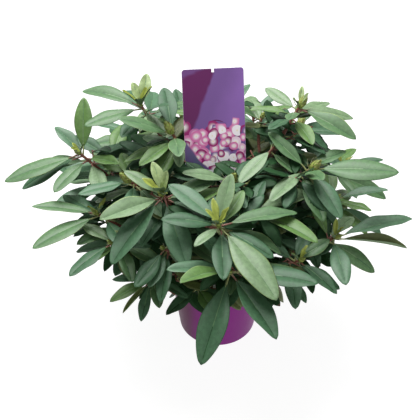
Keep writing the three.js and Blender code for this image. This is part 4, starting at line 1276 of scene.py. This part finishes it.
def make_compost(settings):
    """Moist compost with a rough top, strewn with bark chips."""
    look = Look("compost", Specular_IOR_Level=0.25)
    crumbs = look.noise(420, 6)
    colours = look.mix(crumbs.step(0.35, 0.65), times(settings.pot.compost, 0.5),
                       times(settings.pot.compost, 2.2))
    soil = look.finish(colours, 0.85 + 0.1 * crumbs, crumbs, distance=0.002, strength=0.8)
    chip = Look("bark_chip", Specular_IOR_Level=0.3)
    grain = chip.noise(500, 4)
    dark = times(settings.pot.compost, 1.4)
    chips = chip.finish(chip.mix(grain.step(0.3, 0.7), dark, CHIP["pale"]),
                        0.8 + 0.1 * grain, grain, distance=0.0006, strength=0.5)

    def inner(z):
        return pot_radius(z) - POT.wall - GAP

    top, fine = COMPOST.top, COMPOST_FINE
    foot, shoulder = POT.edge_round + GAP, top - fine.below_rim
    rings = np.linspace(inner(top) - fine.inset, fine.middle, fine.rings)
    crown = top - fine.settled + COMPOST.crown * (1 - (rings / rings[0]) ** 2)
    profile = [(0, POT.floor + GAP), (POT.foot - POT.edge_round, POT.floor + GAP),
               (inner(foot) - GAP, foot), (inner(shoulder), shoulder), *zip(rings, crown), (0, crown[-1])]
    points, faces = lathe(profile, fine.sides)
    open_top = points[:, 2] > top - fine.rough_from
    lumps = np.array([noise.fractal(Vector(p) / fine.lump, 1, 2, 4)
                      + fine.crumbs * noise.noise(Vector(p) / fine.crumb) for p in points[open_top]])
    points[open_top, 2] += fine.rise * lumps.clip(-1, 1)
    pile = Pile()
    pile.add(points, faces, "compost")
    piece = pile.to_object("compost", {"compost": soil})
    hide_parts("root_ball")
    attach(piece, "root")

    draw, pile = Draw(SEED.chips), Pile()
    block = np.array([(x, y, z) for z in (-1, 1) for y in (-1, 1) for x in (-1, 1)], float)
    sides = [(0, 2, 3, 1), (4, 5, 7, 6), (0, 1, 5, 4), (2, 6, 7, 3), (0, 4, 6, 2), (1, 3, 7, 5)]
    for _ in range(settings.pot.chips):
        reach, bearing = (inner(top) - CHIP["clear"]) * math.sqrt(draw.next()), 360 * draw.next()
        shape = block * [draw.between(*CHIP[side]) for side in ("length", "width", "height")]
        shape *= np.array([[draw.between(*CHIP["corners"]) for _ in range(3)] for _ in block])
        turn = Euler((draw.spread(CHIP["tilt"]), draw.spread(CHIP["tilt"]), draw.spread(CHIP["turn"])))
        height = top - CHIP["sunk"] + COMPOST.crown * (1 - (reach / inner(top)) ** 2)
        pile.add(shape @ np.array(turn.to_matrix()).T + polar(bearing, reach, height), sides, "bark_chip")
    piece = pile.to_object("compost_chips", {"bark_chip": chips}, smooth=False)
    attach(piece, "root")


# ---------------------------------------------------------------- label

BEVEL = 0.25  # of the card's edges
# The print, in metres across and down the card. Pairs are the two ends of a soft edge.
PRINT = Spec(across=1.4, down=0.55, wander=0.03, haze=0.02, pale=(0.05, 0.12), paler=1.45,
             field=(0.014, 0.022), band_across=0.5, band=(0.004, 0.012), band_mix=0.6,
             corner_down=0.8, corner=(0.150, 0.154), patch=(0.3, 0.7), strip=0.163,
             strip_colour=(0.82, 0.82, 0.86))
# Layers of overlapping discs: cells to a metre, a disc's radius in cells, and the colours dealt out. Each
# layer is shifted from the last, and the later ones are sparser and have pale cores.
LAYERS = ((38, 0.6, "plum", "magenta", "violet"), (50, 0.52, "violet", "magenta", "plum"),
          (42, 0.5, "magenta", "pink", "violet"), (56, 0.5, "pink", "violet", "pink"),
          (48, 0.44, "pink", "white", "magenta"), (66, 0.44, "magenta", "white", "pink"))
DISC = Spec(shift=(0.31, 0.17), wander=0.012, randomness=0.8, second=(0.45, 0.5), third=(0.7, 0.75),
            cored_from=2, eye=(0.02, 0.12), core=0.04, core_share=0.8, rim=0.95, top=0.079, ragged=0.02,
            sparser=0.08)


def label_outline():
    """The card from the middle of its top edge, with its notch, shoulders and pointed tail."""
    half, corner, notch = LABEL.width / 2, LABEL.corner, LABEL.notch_width / 2
    foot, tail, depth = -LABEL.height, LABEL.tail_offset, LABEL.notch_depth
    tail_half, shoulder = LABEL.tail_width / 2, foot - LABEL.shoulder
    end = shoulder + LABEL.tail_join - LABEL.tail_length
    point = end + LABEL.tail_point
    arc = np.linspace(0, np.pi / 2, 9)
    right = [(half - corner + corner * math.cos(a), -corner + corner * math.sin(a)) for a in arc]
    left = [(-x, y) for x, y in right[::-1]]
    return [(tail, end), (tail + tail_half, point), (tail + tail_half, shoulder), (half - corner, foot),
            (half, foot + corner), *right, (notch, 0), (notch, -depth), (-notch, -depth), (-notch, 0), *left,
            (-half, foot + corner), (-half + corner, foot), (tail - tail_half, shoulder),
            (tail - tail_half, point)]


def print_material(label):
    """A made-up print: a plum and violet field over a spray of overlapping discs."""
    look = Look("label_print", Coat_Weight=0.02, Coat_Roughness=0.3, Specular_IOR_Level=0.22)
    turn = label_turn().to_matrix().transposed()
    top = Vector(LABEL.top) * MM
    across = look.dot(look.place(), turn[0]) - turn[0].dot(top)
    down = look.dot(look.place(), -turn[1]) + turn[1].dot(top)
    drift = look.noise(22, 2, look.joined(across, down))

    fold = across * PRINT.across + down * PRINT.down + PRINT.wander * drift
    paler = (fold + PRINT.haze * drift).step(*PRINT.pale)
    pale = look.mix(paler, label.violet, times(label.violet, PRINT.paler))
    field = look.mix(fold.step(*PRINT.field), label.plum, pale)
    band = (down + PRINT.band_across * across + PRINT.wander * drift).step(*PRINT.band)
    art = look.mix(band, look.mix(PRINT.band_mix, label.plum, label.violet), field)

    for layer, (scale, radius, *names) in enumerate(LAYERS):
        first, second, third = (getattr(label, name) for name in names)
        shift_x, shift_y = (layer * shift for shift in DISC.shift)
        shifted = look.joined(across + shift_x + DISC.wander * drift, down + shift_y)
        gap, chance, middle = look.cells(scale, shifted, DISC.randomness)
        disc = look.mix(chance.step(*DISC.second), first, second)
        disc = look.mix(chance.step(*DISC.third), disc, third)
        if layer >= DISC.cored_from:
            core = look.mix(gap.step(*DISC.eye), look.mix(0.5, label.white, label.eye), label.white)
            disc = look.mix(gap.step(DISC.core, radius * DISC.core_share), core, disc)
        low_enough = look.dot(middle, (0, 1, 0)) - shift_y > DISC.top + DISC.ragged * chance
        shown = (1 - gap.step(radius * DISC.rim, radius)) * low_enough
        art = look.mix(shown * (chance > DISC.sparser * layer), art, disc)
    corner = (down * PRINT.corner_down - across + PRINT.haze * drift).step(*PRINT.corner)
    art = look.mix(corner, art, look.mix(drift.step(*PRINT.patch), label.slate, label.violet))
    art = look.mix(down > PRINT.strip, art, PRINT.strip_colour)
    sheen = look.noise(300, 2)
    return look.finish(art, 0.28 + 0.08 * sheen, sheen, distance=0.0001, strength=0.15)


def make_label(settings):
    """The plant label: a printed card on a tail that stands in the compost."""
    back = Look("label_back", Coat_Weight=0.2)
    fibre = back.noise(400, 3)
    backing = back.finish(back.mix(fibre, (0.62, 0.6, 0.66), (0.7, 0.69, 0.74)), 0.4 + 0.1 * fibre, fibre,
                          distance=0.0001, strength=0.2)
    outline = np.array(label_outline())
    count, half = len(outline), LABEL.thickness / 2
    flat = np.vstack([np.hstack([inset(outline, by), np.full((count, 1), height)]) for by, height in (
        (BEVEL, half), (0, half - BEVEL), (0, BEVEL - half), (BEVEL, -half))])
    turn = np.array(label_turn().to_matrix())
    points = flat @ turn.T + np.array(LABEL.top, float)
    around = [(i, (i + 1) % count) for i in range(count)]
    faces = [list(range(count)), list(range(4 * count))[:3 * count - 1:-1]]
    faces += [[k * count + j, k * count + i, (k + 1) * count + i, (k + 1) * count + j]
              for k in range(3) for i, j in around]
    pile = Pile()
    pile.add(points, faces, ["label_print", "label_back"] + ["label_back"] * (3 * count))
    piece = pile.to_object("label_card", {"label_print": print_material(settings.label),
                                          "label_back": backing}, smooth=False)
    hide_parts("plant_label")
    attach(piece, "root")


def inset(outline, by):
    """An outline drawn in by a small amount."""
    before, after = np.roll(outline, 1, axis=0), np.roll(outline, -1, axis=0)
    edge = after - before
    edge /= np.linalg.norm(edge, axis=1, keepdims=True)
    return outline + by * np.stack([-edge[:, 1], edge[:, 0]], axis=1)


# ---------------------------------------------------------------- stage

FLOOR_REACH = 9
SENSOR = 36
CLIP_START = 0.05
EYE = (-0.013, -1.110, 1.224)
LAMPS_AIM = Vector((0, 0, 0.28))
LAMPS = (("overhead", "lamp", 1.6, (-0.3, 0.75, 2.1)), ("front", "fill", 1.4, (0.5, -2.0, 1.5)))


def make_stage(settings):
    """A pale floor, soft light from overhead and the camera."""
    stage = settings.stage
    scene = bpy.context.scene
    scene.view_settings.view_transform = "Standard"
    look = Look("floor", Specular_IOR_Level=0.1, Emission_Color=(1, 1, 1, 1), Emission_Strength=stage.glow)
    grain = look.noise(30, 2)
    floor_look = look.finish(look.mix(grain, times(stage.floor, 0.99), stage.floor), 0.85 + 0.05 * grain)
    mesh = bpy.data.meshes.new("floor")
    r = FLOOR_REACH
    mesh.from_pydata([(-r, -r, 0), (r, -r, 0), (r, r, 0), (-r, r, 0)], [], [(0, 1, 2, 3)])
    mesh.materials.append(floor_look)
    floor = bpy.data.objects.new("floor", mesh)
    scene.collection.objects.link(floor)

    world = bpy.data.worlds.new("studio")
    world.use_nodes = True
    background = world.node_tree.nodes["Background"]
    background.inputs["Color"].default_value = (1, 1, 1, 1)
    background.inputs["Strength"].default_value = stage.sky
    scene.world = world
    for name, power, width, place in LAMPS:
        light = bpy.data.lights.new(name, "AREA")
        light.energy, light.size = getattr(stage, power), width
        lamp = bpy.data.objects.new(name, light)
        lamp.location = place
        lamp.rotation_euler = (LAMPS_AIM - Vector(place)).to_track_quat("-Z", "Y").to_euler()
        scene.collection.objects.link(lamp)

    camera = bpy.data.cameras.new("camera")
    camera.sensor_width, camera.lens, camera.clip_start = SENSOR, stage.focal_length, CLIP_START
    eye = bpy.data.objects.new("camera", camera)
    eye.location = EYE
    eye.rotation_euler = (math.pi / 2 - stage.tilt, 0, 0)
    scene.collection.objects.link(eye)
    scene.camera = eye


# ---------------------------------------------------------------- operators and panel


class PlantOperator:
    bl_options = {"REGISTER", "UNDO"}

    def execute(self, context):
        self.make(context.scene.rhododendron)
        return {"FINISHED"}


class RHODO_OT_pot(PlantOperator, bpy.types.Operator):
    """Makes the nursery pot"""
    bl_idname = "rhododendron.pot"
    bl_label = "Pot"
    make = staticmethod(make_pot)


class RHODO_OT_compost(PlantOperator, bpy.types.Operator):
    """Makes the compost and the bark chips on it"""
    bl_idname = "rhododendron.compost"
    bl_label = "Compost"
    make = staticmethod(make_compost)


class RHODO_OT_boughs(PlantOperator, bpy.types.Operator):
    """Makes the stem and the boughs"""
    bl_idname = "rhododendron.boughs"
    bl_label = "Stem and Boughs"
    make = staticmethod(make_boughs)


class RHODO_OT_twigs(PlantOperator, bpy.types.Operator):
    """Makes the twigs of every mass of foliage"""
    bl_idname = "rhododendron.twigs"
    bl_label = "Twigs"
    make = staticmethod(make_twigs)


class RHODO_OT_leaves(PlantOperator, bpy.types.Operator):
    """Makes the leaves of every mass of foliage"""
    bl_idname = "rhododendron.leaves"
    bl_label = "Leaves"
    make = staticmethod(make_leaves)


class RHODO_OT_buds(PlantOperator, bpy.types.Operator):
    """Makes the buds at the shoots' tips"""
    bl_idname = "rhododendron.buds"
    bl_label = "Buds"
    make = staticmethod(make_buds)


class RHODO_OT_label(PlantOperator, bpy.types.Operator):
    """Makes the plant label"""
    bl_idname = "rhododendron.label"
    bl_label = "Plant Label"
    make = staticmethod(make_label)


class RHODO_OT_stage(PlantOperator, bpy.types.Operator):
    """Makes the floor, the lights and the camera"""
    bl_idname = "rhododendron.stage"
    bl_label = "Stage"
    make = staticmethod(make_stage)


OPERATORS = (RHODO_OT_pot, RHODO_OT_compost, RHODO_OT_boughs, RHODO_OT_twigs, RHODO_OT_leaves, RHODO_OT_buds,
             RHODO_OT_label, RHODO_OT_stage)


class RHODO_PT_panel(bpy.types.Panel):
    """Lists the plant's settings and its pieces"""
    bl_idname = "RHODO_PT_panel"
    bl_label = "Potted Rhododendron"
    bl_space_type = "VIEW_3D"
    bl_region_type = "UI"
    bl_category = "Rhododendron"

    def draw(self, context):
        plant = context.scene.rhododendron
        for name in SETTINGS:
            box = self.layout.box()
            box.label(text=name.title())
            group = getattr(plant, name)
            for setting in group.__annotations__:
                box.prop(group, setting)
        for operator in OPERATORS:
            self.layout.operator(operator.bl_idname)


CLASSES = (*SETTINGS.values(), PlantSettings, *OPERATORS, RHODO_PT_panel)


def register():
    for cls in CLASSES:
        bpy.utils.register_class(cls)
    bpy.types.Scene.rhododendron = PointerProperty(type=PlantSettings)


def unregister():
    del bpy.types.Scene.rhododendron
    for cls in reversed(CLASSES):
        bpy.utils.unregister_class(cls)


def main():
    register()
    for operator in OPERATORS:
        group, name = operator.bl_idname.split(".")
        getattr(getattr(bpy.ops, group), name)()


if __name__ == "__main__":
    main()
